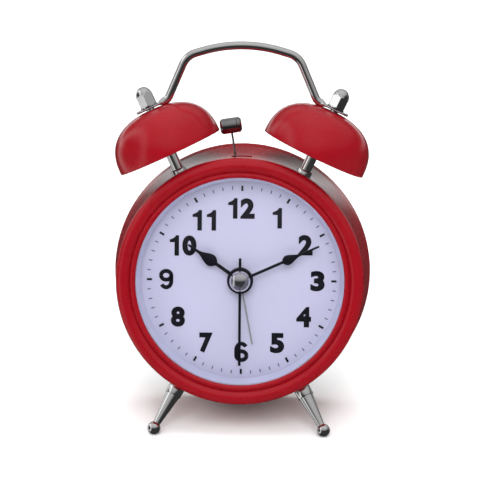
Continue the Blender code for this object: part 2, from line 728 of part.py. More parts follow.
def make_going_train(stand, looks):
    """Rotor, step wheel, second wheel, third wheel and centre wheel."""
    low_end = BACK_PLATE_REAR - GAP
    third_at = Vector((0, TRAIN_DISTANCE, 0))
    step_at = Vector((0, -STEP_DISTANCE, 0))
    rotor_at = Vector((0, -STEP_DISTANCE - ROTOR_DISTANCE, 0))
    centre_module = module_of(TRAIN_DISTANCE, CENTRE_TEETH)
    third_module = module_of(TRAIN_DISTANCE, THIRD_TEETH)
    second_module = module_of(STEP_DISTANCE, SECOND_TEETH)
    step_module = module_of(ROTOR_DISTANCE, STEP_TEETH)
    up, down = math.pi / 2, -math.pi / 2

    second = piece("second_arbor", wheel(SECOND_TEETH[0], second_module, 6), looks["brass"], stand)
    add(second, rod(ARBOR_RADIUS, SECOND_HAND_DEPTH - 1.3 * MM, low_end, 8))
    pinion = tooth_outline(THIRD_TEETH[1], third_module)
    add(second, prism(pinion, -layer(6) - 0.1 * MM, -layer(5)))

    spin = meshing_spin(THIRD_TEETH[0], 0.0, THIRD_TEETH[1], down)
    third = piece("third_wheel", wheel(THIRD_TEETH[0], third_module, 5), looks["brass"], stand, third_at, spin)
    add(third, rod(ARBOR_RADIUS, layer(4) + 0.1 * MM, low_end, 8))
    pinion = tooth_outline(CENTRE_TEETH[1], centre_module)
    add(third, prism(pinion, -layer(5) - 0.1 * MM, -layer(4)))

    spin = meshing_spin(CENTRE_TEETH[0], spin, CENTRE_TEETH[1], up)
    bore = CANNON_TUBE[0]
    piece("centre_wheel", wheel(CENTRE_TEETH[0], centre_module, 4, bore), looks["brass"], stand, spin=spin)

    spin = meshing_spin(SECOND_TEETH[1], 0.0, SECOND_TEETH[0], up)
    step = piece("step_wheel", wheel(STEP_TEETH[0], step_module, 7), looks["white"], stand, step_at, spin)
    add(step, rod(ARBOR_RADIUS, layer(6) + 0.1 * MM, low_end, 8))
    pinion = tooth_outline(SECOND_TEETH[1], second_module)
    add(step, prism(pinion, -layer(7) - 0.1 * MM, -layer(6)))

    spin = meshing_spin(STEP_TEETH[1], spin, STEP_TEETH[0], up)
    rotor = piece("rotor", wheel(STEP_TEETH[1], step_module, 7), looks["steel"], stand, rotor_at, spin)
    add(rotor, rod(ARBOR_RADIUS, layer(4) - 0.2 * MM, low_end, 8))
    add(rotor, rod(2.2 * MM, layer(4) + 0.1 * MM, layer(6) + 0.2 * MM, SMALL))


def make_housing(stand, looks):
    """The movement's front tray and its back plate, which the arbors turn in."""
    half = MOVEMENT_HALF
    inner = half - MOVEMENT_WALL
    rear = BACK_PLATE - GAP
    hole = circle(ALARM_TUBE[1] + 0.4 * MM, 16)
    tray = prism(rectangle(-half, -half, half, half), -rear, -HOUSING_FRONT, (hole,))
    housing = piece("movement_front_housing", tray, looks["white"], stand)
    hollow = rectangle(-inner, -inner, inner, inner)
    cut(housing, prism(hollow, -rear - 1 * MM, -HOUSING_FRONT - MOVEMENT_WALL))
    bearings = [
        ((0, 0), ARBOR_RADIUS),
        ((0, TRAIN_DISTANCE), ARBOR_RADIUS),
        ((0, -STEP_DISTANCE), ARBOR_RADIUS),
        ((0, -STEP_DISTANCE - ROTOR_DISTANCE), ARBOR_RADIUS),
        ((MOTION_DISTANCE, 0), ARBOR_RADIUS * 1.3),
        ((2 * MOTION_DISTANCE, 0), SETTING_SHAFT),
        ((-2 * MOTION_DISTANCE, 0), SETTING_SHAFT),
    ]
    holes = [circle(radius + FIT, SMALL, spot) for spot, radius in bearings]
    plate = prism(rectangle(-half, -half, half, half), -BACK_PLATE_REAR, -BACK_PLATE, holes)
    piece("movement_back_plate", plate, looks["white"], stand)


def make_electrics(stand, looks):
    """Stator, coil, circuit board, crystal and alarm contact, beside the wheels."""
    rotor_y = -STEP_DISTANCE - ROTOR_DISTANCE
    middle = layer(5)
    window = rectangle(-9.5 * MM, rotor_y - 9.4 * MM, 9.5 * MM, rotor_y - 4.2 * MM)
    plate = prism(
        rectangle(-11.5 * MM, rotor_y - 10.4 * MM, 11.5 * MM, rotor_y + 3.4 * MM),
        -middle - WHEEL_WALL,
        -middle,
        (window, circle(2.6 * MM, 16, (0, rotor_y))),
    )
    piece("stator", plate, looks["steel"], stand)
    radius, half = 2.2 * MM, 9.1 * MM
    coil = [(0, -half), (radius, -half), (radius, half), (0, half)]
    place = Vector((0, rotor_y - 6.8 * MM, -middle - WHEEL_WALL / 2))
    wound = piece("coil", turned(coil, 16), looks["copper"], stand, place)
    wound.rotation_euler = (0, math.pi / 2, 0)
    front = layer(6)
    board = rectangle(-23.4 * MM, -22 * MM, -13 * MM, -4 * MM)
    piece("circuit_board", prism(board, -front - 0.8 * MM, -front), looks["board"], stand)
    crystal = [(0, 0), (0.9 * MM, 0), (0.9 * MM, 6 * MM), (0, 6 * MM)]
    place = Vector((-18 * MM, -16 * MM, -front + 1.3 * MM))
    can = piece("quartz_crystal", turned(crystal, SMALL), looks["steel"], stand, place)
    can.rotation_euler = (-math.pi / 2, 0, 0)
    leaf = [(-23 * MM, 0), (-10 * MM, 0), (-8.6 * MM, 0.5 * MM), (-8.6 * MM, 0.8 * MM)]
    leaf += [(-10.1 * MM, 0.3 * MM), (-23 * MM, 0.3 * MM)]
    strip = prism(leaf, -1.2 * MM, 1.2 * MM)
    place = Vector((0, 8 * MM, -layer(2) - 0.9 * MM))
    spring = piece("alarm_contact_spring", strip, looks["brass"], stand, place)
    spring.rotation_euler = (math.pi / 2, 0, 0)


# ---------------------------------------------------------------- bells and handle


def bell_axis(side):
    return Vector((side * math.sin(BELL_TILT), math.cos(BELL_TILT), 0))


def bell_profile():
    """Dome of sheet metal with a hole for the post's thread, a little flatter than a ball."""
    hole = THREAD_RADIUS + GAP
    steps = 6
    angles = [math.pi / 2 * i / steps for i in range(steps)]

    def side(radius, height):
        points = [(radius * math.cos(a), height * math.sin(a) ** 0.94) for a in angles]
        return points + [(hole, height)]

    outer = side(BELL_RADIUS, BELL_HEIGHT)
    inner = side(BELL_RADIUS - BELL_WALL, BELL_HEIGHT - BELL_WALL)
    return outer + inner[::-1]


def post_profile():
    """Bell post: an inner thread, a collar on the case, the shank and the upper thread."""
    shoulder = BELL_STANDOFF + BELL_HEIGHT - BELL_WALL - GAP
    stud = SEAT_GAP + NUT_HEIGHT + 1.6 * MM
    end = BELL_STANDOFF + BELL_HEIGHT + TAB_WALL + 5.0 * MM
    return [
        (0, -stud),
        (THREAD_RADIUS, -stud),
        (THREAD_RADIUS, SEAT_GAP),
        (POST_RADIUS + 0.7 * MM, SEAT_GAP),
        (POST_RADIUS + 0.7 * MM, SEAT_GAP + 1.0 * MM),
        (POST_RADIUS, SEAT_GAP + 1.4 * MM),
        (POST_RADIUS, shoulder),
        (THREAD_RADIUS, shoulder),
        (THREAD_RADIUS, end),
        (0, end),
    ]


def nut_profile():
    bore, corner = THREAD_RADIUS + FIT, NUT_ACROSS * 0.6
    return [(bore, 0), (corner, 0), (corner, NUT_HEIGHT), (bore, NUT_HEIGHT)]


def cap_nut_profile():
    """Hexagon that runs into a dome, with a blind bore for the thread."""
    bore, corner = THREAD_RADIUS + FIT, NUT_ACROSS * 0.6
    dome = NUT_ACROSS * 0.49
    rise = CAP_NUT_HEIGHT - dome
    cap = [(dome * math.cos(a), rise + dome * math.sin(a)) for a in [math.pi * i / 10 for i in range(5)]]
    outer = [(bore, 0), (corner - 0.3 * MM, 0), (corner, 0.3 * MM), (corner, 2.9 * MM), (dome, 3.5 * MM)]
    return outer + cap + [(0, CAP_NUT_HEIGHT), (0, 5.3 * MM), (bore, 5.2 * MM)]


def make_bells(stand, looks):
    tab_seat = BELL_STANDOFF + BELL_HEIGHT + GAP
    for side, word in ((-1, "left"), (1, "right")):
        post = empty("bell_side_" + word, stand, (side * ROOT_X, ROOT_Y, -BELL_DEPTH), bell_axis(side))
        piece("bell_" + word, turned(bell_profile(), MIDDLE), looks["enamel"], post, (0, 0, BELL_STANDOFF))
        piece("bell_post_" + word, turned(post_profile(), SMALL), looks["chrome"], post)
        nut = turned(cap_nut_profile(), 24, NUT_ACROSS)
        piece("cap_nut_" + word, nut, looks["chrome"], post, (0, 0, tab_seat + TAB_WALL + GAP))
        nut = turned(nut_profile(), SMALL, NUT_ACROSS)
        under = -CASE_WALL - SEAT_GAP - NUT_HEIGHT
        piece("post_nut_" + word, nut, looks["steel"], post, (0, 0, under))


def handle_half():
    """Right half of the handle's centre line, from the tab's end to just short of the middle."""
    reach = BELL_STANDOFF + BELL_HEIGHT + GAP + TAB_WALL / 2
    tab = Vector((ROOT_X, ROOT_Y, 0)) + bell_axis(1) * reach
    out = Vector((math.cos(BELL_TILT), -math.sin(BELL_TILT), 0))
    leg = Vector((-math.sin(HANDLE_LEG_TILT), math.cos(HANDLE_LEG_TILT), 0))
    foot = Vector((*HANDLE_LEG_FOOT, 0)) + Vector((ROOT_X - HANDLE_ROOT_X, 0, 0))
    centre = Vector((0, HANDLE_TOP - HANDLE_TOP_RADIUS, 0))
    start = math.acos(HANDLE_SHOULDER / HANDLE_TOP_RADIUS)
    touch = centre + HANDLE_TOP_RADIUS * Vector((math.cos(start), math.sin(start), 0))
    along = Vector((-math.sin(start), math.cos(start), 0))
    bend = crossing(tab, out, foot, leg)
    shoulder = crossing(foot, leg, touch, along)
    end = tab + out * TAB_END
    corners = [end, bend, shoulder, touch]
    path = rounded_path(corners, (2.4 * MM, 3.0 * MM), 5)
    top = [start + (math.pi / 2 - start) * i / 4 for i in range(1, 4)]
    path += [centre + HANDLE_TOP_RADIUS * Vector((math.cos(a), math.sin(a), 0)) for a in top]
    flat = [end - out * (TAB_END * step) for step in (0.08, 0.3, 0.7, 1.5, 1.9, 2.25)]
    return [end] + flat + path[1:], tab


def crossing(point, along, other, direction):
    """Where two lines in the plane meet."""
    gap = other - point
    share = (gap.x * direction.y - gap.y * direction.x) / (along.x * direction.y - along.y * direction.x)
    return point + along * share


def make_handle(stand, looks):
    """Rod bent to an arch, its ends flattened to tabs that the cap nuts hold."""
    right, tab = handle_half()
    widths, heights = [], []
    for i, point in enumerate(right):
        spread = (0.3, 0.6, 0.88, 1.0, 1.0, 0.9, 0.6)
        widths.append(TAB_HALF_WIDTH * spread[i] if i < len(spread) else HANDLE_RADIUS)
        flat = (1.0, 1.0, 1.0, 1.0, 1.0, 1.15, 1.8)
        heights.append(TAB_WALL / 2 * flat[i] if i < len(flat) else HANDLE_RADIUS)
    top = Vector((0, HANDLE_TOP, 0))
    left = [Vector((-p.x, p.y, 0)) for p in reversed(right)]
    path = right + [top] + left
    widths = widths + [HANDLE_RADIUS] + widths[::-1]
    heights = heights + [HANDLE_RADIUS] + heights[::-1]
    mesh = swept(path, 8, widths, heights)
    handle = piece("handle", mesh, looks["chrome"], stand, (0, 0, -BELL_DEPTH))
    hole = THREAD_RADIUS + GAP
    drill = [(0, -2 * MM), (hole, -2 * MM), (hole, 2 * MM), (0, 2 * MM)]
    for side in (-1, 1):
        cut(handle, turned(drill, SMALL), (side * tab.x, tab.y, 0), towards(bell_axis(side)))


# ---------------------------------------------------------------- hammer and motor


def make_hammer(stand, looks):
    """Lever, wire and head, which swing together about the pivot pin."""
    pivot = empty("hammer_pivot", stand, (0, PIVOT_HEIGHT, 0))
    pivot.rotation_euler = (0, 0, SWING)
    pin_end = FORK_DEPTH + FORK_WALL + 0.6 * MM
    pin = prism(circle(PIVOT_RADIUS, 10), -pin_end, -HOUSING_FRONT - 0.1 * MM)
    piece("hammer_pivot_pin", pin, looks["steel"], stand, (0, PIVOT_HEIGHT, 0))

    front = BELL_DEPTH - 1.6 * MM
    bore = PIVOT_RADIUS + FIT
    hub = tube(bore, LEVER_HUB, front, FORK_DEPTH + FORK_WALL)
    lever = piece("hammer_lever", hub, looks["black"], pivot)
    arm_top = LEVER_HUB + 6.0 * MM
    arm = rectangle(-1.5 * MM, bore + 0.3 * MM, 1.5 * MM, arm_top)
    add(lever, prism(arm, -BELL_DEPTH - 1.3 * MM, -front - 0.1 * MM))
    reach = MOTOR_DROP + CRANK_THROW + 1.6 * MM
    width = FORK_HALF_GAP + 1.2 * MM
    top = MOTOR_DROP - CRANK_THROW - 1.6 * MM
    fork = [(-width, -reach), (-FORK_HALF_GAP, -reach), (-FORK_HALF_GAP, -top), (FORK_HALF_GAP, -top)]
    fork += [(FORK_HALF_GAP, -reach), (width, -reach), (width, -bore - 0.4 * MM), (-width, -bore - 0.4 * MM)]
    add(lever, prism(fork, -FORK_DEPTH - FORK_WALL + 0.1 * MM, -FORK_DEPTH))
    hole = WIRE_RADIUS + FIT
    wire_foot = LEVER_HUB + 1.2 * MM
    drill = [(0, wire_foot), (hole, wire_foot), (hole, arm_top + 1 * MM), (0, arm_top + 1 * MM)]
    upward = towards((0, 1, 0))
    cut(lever, turned(drill, 8), (0, 0, -BELL_DEPTH), upward)

    sink = ARM_LENGTH - HEAD_RADIUS + 1.5 * MM
    rod_points = [(0, wire_foot + GAP), (WIRE_RADIUS, wire_foot + GAP), (WIRE_RADIUS, sink), (0, sink)]
    wire = piece("hammer_wire", turned(rod_points, 8), looks["steel"], pivot, (0, 0, -BELL_DEPTH))
    wire.rotation_euler = (-math.pi / 2, 0, 0)

    half, edge = HEAD_LENGTH / 2, 0.4 * MM
    profile = [(0, -half), (HEAD_RADIUS - edge, -half), (HEAD_RADIUS, -half + edge)]
    profile += [(HEAD_RADIUS, half - edge), (HEAD_RADIUS - edge, half), (0, half)]
    head = piece("hammer_head", turned(profile, 20), looks["steel"], pivot, (0, ARM_LENGTH, -BELL_DEPTH))
    head.rotation_euler = (0, math.pi / 2, 0)
    socket = [(0, 0), (hole, 0), (hole, HEAD_RADIUS + 1 * MM), (0, HEAD_RADIUS + 1 * MM)]
    shift = HEAD_RADIUS - 1.5 * MM - GAP
    down = head.rotation_euler.to_quaternion().inverted() @ towards((0, -1, 0))
    place = head.rotation_euler.to_matrix().inverted() @ Vector((0, -shift, 0))
    cut(head, turned(socket, 8), place, down)


def make_motor(stand, looks):
    """Motor can with its crank, whose pin works in the lever's fork."""
    rear = MOTOR_DEPTH + MOTOR_LENGTH
    bore = 0.8 * MM
    edge = 0.6 * MM
    can = [
        (bore, MOTOR_DEPTH),
        (MOTOR_RADIUS - edge, MOTOR_DEPTH),
        (MOTOR_RADIUS, MOTOR_DEPTH + edge),
        (MOTOR_RADIUS, rear - edge),
        (MOTOR_RADIUS - edge, rear),
        (0, rear),
        (0, MOTOR_DEPTH + 5.1 * MM),
        (bore, MOTOR_DEPTH + 5.0 * MM),
    ]
    piece("hammer_motor", turned(behind(can), 24), looks["steel"], stand, (0, MOTOR_HEIGHT, 0))
    disc = prism(circle(CRANK_THROW + 1.6 * MM, 16), -CRANK_DEPTH - 1.1 * MM, -CRANK_DEPTH)
    crank = piece("motor_crank", disc, looks["brass"], stand, (0, MOTOR_HEIGHT, 0))
    add(crank, rod(0.6 * MM, CRANK_DEPTH + 0.5 * MM, MOTOR_DEPTH + 4.6 * MM, 8))
    pin = circle(CRANK_PIN_RADIUS, 10, (CRANK_THROW, 0))
    add(crank, prism(pin, -CRANK_DEPTH - 0.5 * MM, -FORK_DEPTH + 0.3 * MM))


# ---------------------------------------------------------------- feet


def foot_profile():
    """Turned foot: an inner stud, a collar on the case, a long cone and the ball."""
    start = FOOT_COLLAR * math.sin(FOOT_TILT) + GAP
    stud = SEAT_GAP + NUT_HEIGHT + 1.2 * MM
    neck = 1.05 * MM
    ball = FOOT_LENGTH
    grip = math.asin(neck / FOOT_BALL)
    angles = [grip + (math.pi - grip) * i / 6 for i in range(7)]
    sphere = [(FOOT_BALL * math.sin(a), ball - FOOT_BALL * math.cos(a)) for a in angles]
    sphere[-1] = (0, ball + FOOT_BALL)
    return [
        (0, -stud),
        (THREAD_RADIUS, -stud),
        (THREAD_RADIUS, start),
        (FOOT_COLLAR, start),
        (FOOT_COLLAR - 0.2 * MM, start + 3.4 * MM),
        (FOOT_COLLAR * 0.82, start + 3.8 * MM),
    ] + sphere


def make_feet(stand, looks):
    for side, word in ((-1, "left"), (1, "right")):
        frame = empty("foot_side_" + word, stand, foot_root(side), foot_direction(side))
        piece("foot_" + word, turned(foot_profile(), 16), looks["chrome"], frame)
        nut = [(radius, height * 0.7) for radius, height in nut_profile()]
        under = -CASE_WALL - SEAT_GAP - NUT_HEIGHT * 0.7 - 0.2 * MM
        piece("foot_nut_" + word, turned(nut, SMALL, NUT_ACROSS), looks["steel"], frame, (0, 0, under))


# ---------------------------------------------------------------- rear cover and battery


def make_rear_cover(stand, looks):
    """Moulded cover: the battery box, the motor's socket, and holes for knobs, switch and screws."""
    holes = [circle(SETTING_SHAFT + GAP, SMALL, knob_spot(side)[:2]) for side in (-1, 1)]
    holes += [circle(SCREW_RADIUS + FIT, 8, spot) for spot in pillar_spots()]
    half = SWITCH_TRAVEL / 2 + 2.2 * MM
    x, y = SWITCH_SPOT
    holes.append(rectangle(x - half, y - 1.5 * MM, x + half, y + 1.5 * MM))
    plate = prism(circle(COVER_RADIUS, LARGE), -COVER_REAR, -COVER_FRONT, holes)
    cover = piece("rear_cover", plate, looks["black"], stand)
    front = BACK_PLATE_REAR + GAP
    outer = battery_rectangle(BOX_WALL)
    inner = battery_rectangle(0.0)
    inside = COVER_FRONT + 0.5 * MM
    add(cover, prism(outer, -inside, -front))
    cut(cover, prism(inner, -COVER_REAR - 1 * MM, -front - BOX_WALL))
    lap = battery_rectangle(DOOR_LAP)
    cut(cover, prism(lap, -COVER_REAR - 1 * MM, -COVER_REAR + DOOR_WALL))
    wall = MOTOR_RADIUS + FIT + 1.0 * MM
    spot = (0, MOTOR_HEIGHT)
    socket = (circle(MOTOR_RADIUS + FIT, 24, spot),)
    add(cover, prism(circle(wall, 24, spot), -inside, -MOTOR_DEPTH - 4.0 * MM, socket))


def battery_rectangle(margin):
    x, y = BOX_HALF_LENGTH + margin, BOX_HALF_HEIGHT + margin
    return rectangle(-x, BATTERY_HEIGHT - y, x, BATTERY_HEIGHT + y)


def make_battery(stand, looks):
    half = BATTERY_LENGTH / 2
    edge = 0.5 * MM
    profile = [
        (0, -half),
        (2.7 * MM, -half),
        (2.7 * MM, -half + 1.2 * MM),
        (BATTERY_RADIUS - edge, -half + 1.2 * MM),
        (BATTERY_RADIUS, -half + 1.2 * MM + edge),
        (BATTERY_RADIUS, half - edge),
        (BATTERY_RADIUS - edge, half),
        (0, half),
    ]
    shift = -1.0 * MM
    place = (shift, BATTERY_HEIGHT, -BATTERY_DEPTH)
    cell = piece("battery", turned(profile, 24), looks["battery"], stand, place)
    cell.rotation_euler = (0, math.pi / 2, 0)

    end = BOX_HALF_LENGTH
    plate = rectangle(-4.5 * MM, -4.5 * MM, 4.5 * MM, 4.5 * MM)
    contact = piece("battery_flat_contact", prism(plate, 0, 0.4 * MM), looks["steel"], stand)
    contact.location = (-end + 0.2 * MM, BATTERY_HEIGHT, -BATTERY_DEPTH)
    contact.rotation_euler = (0, math.pi / 2, 0)

    path = spring_path()
    radius = 0.25 * MM
    coil = bpy.data.curves.new("battery_spring_contact", "CURVE")
    coil.dimensions = "3D"
    coil.bevel_depth = radius
    coil.bevel_resolution = 1
    coil.use_fill_caps = True
    line = coil.splines.new("POLY")
    line.points.add(len(path) - 1)
    for point, where in zip(line.points, path):
        point.co = (*where, 1)
    coil.materials.append(looks["steel"])
    spring = bpy.data.objects.new("battery_spring_contact", coil)
    spring.parent = stand
    spring.location = (half + shift + radius + GAP, BATTERY_HEIGHT, -BATTERY_DEPTH)
    spring.rotation_euler = (0, math.pi / 2, 0)
    bpy.context.scene.collection.objects.link(spring)


def spring_path():
    """Conical helix along Z, squeezed between the cell and the end of its box."""
    turns, steps = 2, 12
    length = 1.9 * MM
    path = []
    for i in range(turns * steps + 1):
        share = i / (turns * steps)
        angle = 2 * math.pi * turns * share
        radius = (2.4 + 2.4 * share) * MM
        path.append((radius * math.cos(angle), radius * math.sin(angle), length * share))
    return path


def make_door(stand, looks):
    """Battery door, hinged at its lower edge on the cover's rear face."""
    margin = DOOR_LAP - GAP
    width, height = BOX_HALF_LENGTH + margin, 2 * (BOX_HALF_HEIGHT + margin)
    hinge = (0, BATTERY_HEIGHT - BOX_HALF_HEIGHT - margin, -COVER_REAR)
    door = prism(rectangle(-width, 0, width, height), 0, DOOR_WALL - GAP)
    piece("battery_door", door, looks["black"], stand, hinge)


def make_switch(stand, looks):
    """Alarm slide: a flange inside the cover and a nib that comes out through its slot."""
    x, y = SWITCH_SPOT
    travel = SWITCH_TRAVEL / 2
    inside = COVER_FRONT - GAP
    flange = rectangle(-5 * MM, -2.4 * MM, 5 * MM, 2.4 * MM)
    place = (x - travel, y, 0)
    slide = piece("alarm_switch", prism(flange, -inside, -inside + 0.8 * MM), looks["white"], stand, place)
    nib = rectangle(-1.9 * MM, -1.2 * MM, 1.9 * MM, 1.2 * MM)
    add(slide, prism(nib, -COVER_REAR - 1.5 * MM, -inside + 0.2 * MM))


def make_cover_screws(stand, looks):
    sink = COVER_REAR + GAP
    profile = [
        (0, sink + 1.1 * MM),
        (SCREW_HEAD * 0.7, sink + 1.0 * MM),
        (SCREW_HEAD, sink + 0.3 * MM),
        (SCREW_HEAD, sink),
        (SCREW_RADIUS, sink),
        (SCREW_RADIUS, COVER_FRONT - 5.0 * MM),
        (0, COVER_FRONT - 5.0 * MM),
    ]
    for number, (x, y) in enumerate(pillar_spots(), 1):
        mesh = turned(behind(profile), 10)
        piece(f"rear_cover_screw_{number}", mesh, looks["steel"], stand, (x, y, 0))


# ---------------------------------------------------------------- the whole clock


def clear_scene():
    for item in list(bpy.data.objects):
        bpy.data.objects.remove(item)


def lowest_point():
    """Centre of the clock's box in X and Y, and its lowest height."""
    bpy.context.view_layer.update()
    graph = bpy.context.evaluated_depsgraph_get()
    corners = []
    for item in bpy.data.objects:
        if item.type in ("MESH", "CURVE") and not item.hide_render:
            solid = item.evaluated_get(graph)
            mesh = solid.to_mesh()
            corners += [solid.matrix_world @ vert.co for vert in mesh.vertices]
            solid.to_mesh_clear()
    low = [min(corner[i] for corner in corners) for i in range(3)]
    high = [max(corner[i] for corner in corners) for i in range(3)]
    return Vector(((low[0] + high[0]) / 2, (low[1] + high[1]) / 2, low[2]))


def main():
    clear_scene()
    looks = all_materials()
    stand = empty("stand", None, (0, 0, 0))
    stand.rotation_euler = (math.pi / 2 - lean(), 0, 0)
    makers = (
        make_case,
        make_bezel,
        make_lens,
        make_dial,
        make_chassis,
        make_hands,
        make_motion_work,
        make_setting_works,
        make_going_train,
        make_housing,
        make_electrics,
        make_bells,
        make_handle,
        make_hammer,
        make_motor,
        make_feet,
        make_rear_cover,
        make_battery,
        make_door,
        make_switch,
        make_cover_screws,
    )
    for make in makers:
        make(stand, looks)
    stand.location = -lowest_point()


main()
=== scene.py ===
"""Twin-bell alarm clock: the looks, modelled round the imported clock.

Every piece is drawn lying on its back, as the clock's maker would: +X right, +Y towards twelve and
+Z out of the dial, with heights measured from the plane of the bezel's front. complete() then leans
the finished piece back with the clock and puts its place into its mesh.
"""

import json
import math

import bmesh
import bpy
from mathutils import Matrix, Vector


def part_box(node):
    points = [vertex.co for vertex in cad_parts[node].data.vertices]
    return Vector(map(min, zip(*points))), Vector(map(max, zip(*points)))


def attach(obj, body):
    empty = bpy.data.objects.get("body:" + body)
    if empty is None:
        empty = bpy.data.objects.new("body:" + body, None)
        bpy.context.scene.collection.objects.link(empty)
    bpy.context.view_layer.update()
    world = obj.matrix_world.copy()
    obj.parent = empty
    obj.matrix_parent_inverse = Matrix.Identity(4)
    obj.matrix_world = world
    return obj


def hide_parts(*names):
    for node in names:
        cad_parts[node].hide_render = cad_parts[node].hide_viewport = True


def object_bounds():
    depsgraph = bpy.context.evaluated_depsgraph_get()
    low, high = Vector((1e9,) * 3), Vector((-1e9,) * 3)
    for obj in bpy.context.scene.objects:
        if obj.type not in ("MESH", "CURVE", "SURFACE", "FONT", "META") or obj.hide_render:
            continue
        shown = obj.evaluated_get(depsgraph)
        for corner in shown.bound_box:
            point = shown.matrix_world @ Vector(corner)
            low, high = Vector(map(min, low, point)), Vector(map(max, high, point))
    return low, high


bl_info = {
    "name": "Twin-Bell Alarm Clock",
    "version": (1, 0, 0),
    "blender": (4, 5, 0),
    "location": "3D View > Sidebar > Clock",
    "description": "Models the enamel, chrome, dial and hands of a twin-bell alarm clock",
    "category": "Object",
}

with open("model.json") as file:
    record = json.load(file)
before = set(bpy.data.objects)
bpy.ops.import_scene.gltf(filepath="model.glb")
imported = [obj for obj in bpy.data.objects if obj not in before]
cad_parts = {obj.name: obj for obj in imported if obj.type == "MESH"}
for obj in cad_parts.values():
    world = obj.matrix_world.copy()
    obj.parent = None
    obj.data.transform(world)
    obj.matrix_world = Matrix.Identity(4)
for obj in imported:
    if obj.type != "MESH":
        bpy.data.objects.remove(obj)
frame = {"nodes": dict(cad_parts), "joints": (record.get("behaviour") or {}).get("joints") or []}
CAD_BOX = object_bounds()

MM = 0.001
TURN = 2 * math.pi
SMOOTH_ANGLE = math.radians(32)

# Where the clock's own axes lie. The hands' joints are this far behind the bezel's front.
HAND_JOINT_DEPTH = 12.55 * MM
JOINTS = {joint["name"]: joint for joint in frame["joints"]}
OUT = -Vector(JOINTS["minute_hand_turn"]["axis"]).normalized()
RIGHT = Vector((1, 0, 0))
UP = OUT.cross(RIGHT)
ORIGIN = Vector(JOINTS["minute_hand_turn"]["pos_m"]) + OUT * HAND_JOINT_DEPTH
STAND = Matrix.Translation(ORIGIN) @ Matrix((RIGHT, UP, OUT)).transposed().to_4x4()
LYING = STAND.inverted()

# Segments round a large, a middling and a small turned piece
LARGE, MIDDLE, SMALL = 144, 96, 48

# Depth behind the bezel where the case begins to flare
FLARE_START = 6.0 * MM


def joint_spot(name):
    """Where a joint's axis crosses the plane of the bezel's front."""
    spot = LYING @ Vector(JOINTS[name]["pos_m"])
    return Vector((spot.x, spot.y, 0))


def clock_box(node):
    """Lowest and highest corner of a CAD node in the clock's own axes."""
    points = [LYING @ vert.co for vert in frame["nodes"][node].data.vertices]
    return [Vector([limit(point[i] for point in points) for i in range(3)]) for limit in (min, max)]


# ---------------------------------------------------------------- sizes and colours


def length(name, description, millimetres):
    return bpy.props.FloatProperty(
        name=name, description=description, default=millimetres * MM, unit="LENGTH", precision=5
    )


def angle(name, description, degrees):
    return bpy.props.FloatProperty(
        name=name, description=description, default=math.radians(degrees), unit="ROTATION"
    )


def colour(name, description, *rgb):
    return bpy.props.FloatVectorProperty(
        name=name, description=description, default=rgb, size=3, min=0.0, max=1.0, subtype="COLOR"
    )


class CLOCK_PG_sizes(bpy.types.PropertyGroup):
    """Driving dimensions of the clock."""

    case_front_radius: length("Case front", "Radius of the case behind the bezel", 41.2)
    case_flare: length("Case flare", "How much the case widens towards the rear", 3.6)
    case_front: length("Case front depth", "Depth where the case begins", 3.2)
    case_rear: length("Case rear depth", "Depth of the case's rolled rear edge", 33.4)
    sheet: length("Sheet", "Thickness of the pressed sheet metal", 0.7)
    bead: length("Rolled edge", "Radius of the bead round the case's rear edge", 0.6)
    opening: length("Opening", "Radius of the bezel's opening", 35.5)
    skirt: length("Bezel skirt", "Outer radius of the bezel", 42.3)
    skirt_depth: length("Skirt depth", "Depth that the bezel's skirt reaches", 6.5)
    dial_depth: length("Dial depth", "Depth of the printed face of the dial", 8.0)
    dial_radius: length("Dial radius", "Radius of the dial", 37.3)
    hand_wall: length("Hand wall", "Thickness of the hands", 0.35)
    hand_hub: length("Hand hub", "Radius of the discs in the middle of the hands", 4.45)
    numeral_height: length("Numeral height", "Height of the numerals", 7.05)
    bell_radius: length("Bell radius", "Radius of a bell's rim", 18.6)
    bell_height: length("Bell height", "Height of a bell above its rim", 16.1)
    bell_depth: length("Bell depth", "Depth of the bells' axes", 14.0)
    bell_tilt: angle("Bell tilt", "Lean of a bell's post outwards", 25.2)
    bell_standoff: length("Bell standoff", "Distance from the case to a bell's rim plane", 7.5)
    post_x: length("Post root", "Distance of a post's root from the middle plane", 21.30)
    post_radius: length("Post", "Radius of a bell's post", 1.9)
    nut_across: length("Nut", "Width across the flats of a cap nut", 5.5)
    nut_height: length("Nut height", "Height of a cap nut", 6.8)
    handle_radius: length("Handle", "Radius of the handle's rod", 1.4)
    foot_length: length("Foot", "Distance from the case to a foot's ball", 18.3)
    foot_ball: length("Foot ball", "Radius of a foot's ball", 2.2)
    knob_radius: length("Knob", "Radius of the setting knobs", 5.6)


class CLOCK_PG_colours(bpy.types.PropertyGroup):
    """Colours of the clock's finishes."""

    enamel: colour("Enamel", "Red of the case, the bezel and the bells", 0.240, 0.0030, 0.0080)
    chrome: colour("Chrome", "Tint of the plated pieces", 0.74, 0.735, 0.735)
    dial: colour("Dial", "Tint of the dial's card", 0.555, 0.55, 0.71)
    ink: colour("Ink", "Black of the hands and the numerals", 0.004, 0.004, 0.008)
    plastic: colour("Rear plastic", "Black of the cover, door and knobs", 0.016, 0.016, 0.017)


def sizes():
    return bpy.context.scene.clock_sizes


def colours():
    return bpy.context.scene.clock_colours


def case_radius(depth):
    """Outer radius of the case at a depth: straight behind the bezel, then flaring to the rear."""
    size = sizes()
    share = max(0.0, depth - FLARE_START) / (size.case_rear - FLARE_START)
    return size.case_front_radius + size.case_flare * share**1.3


# ---------------------------------------------------------------- surfaces


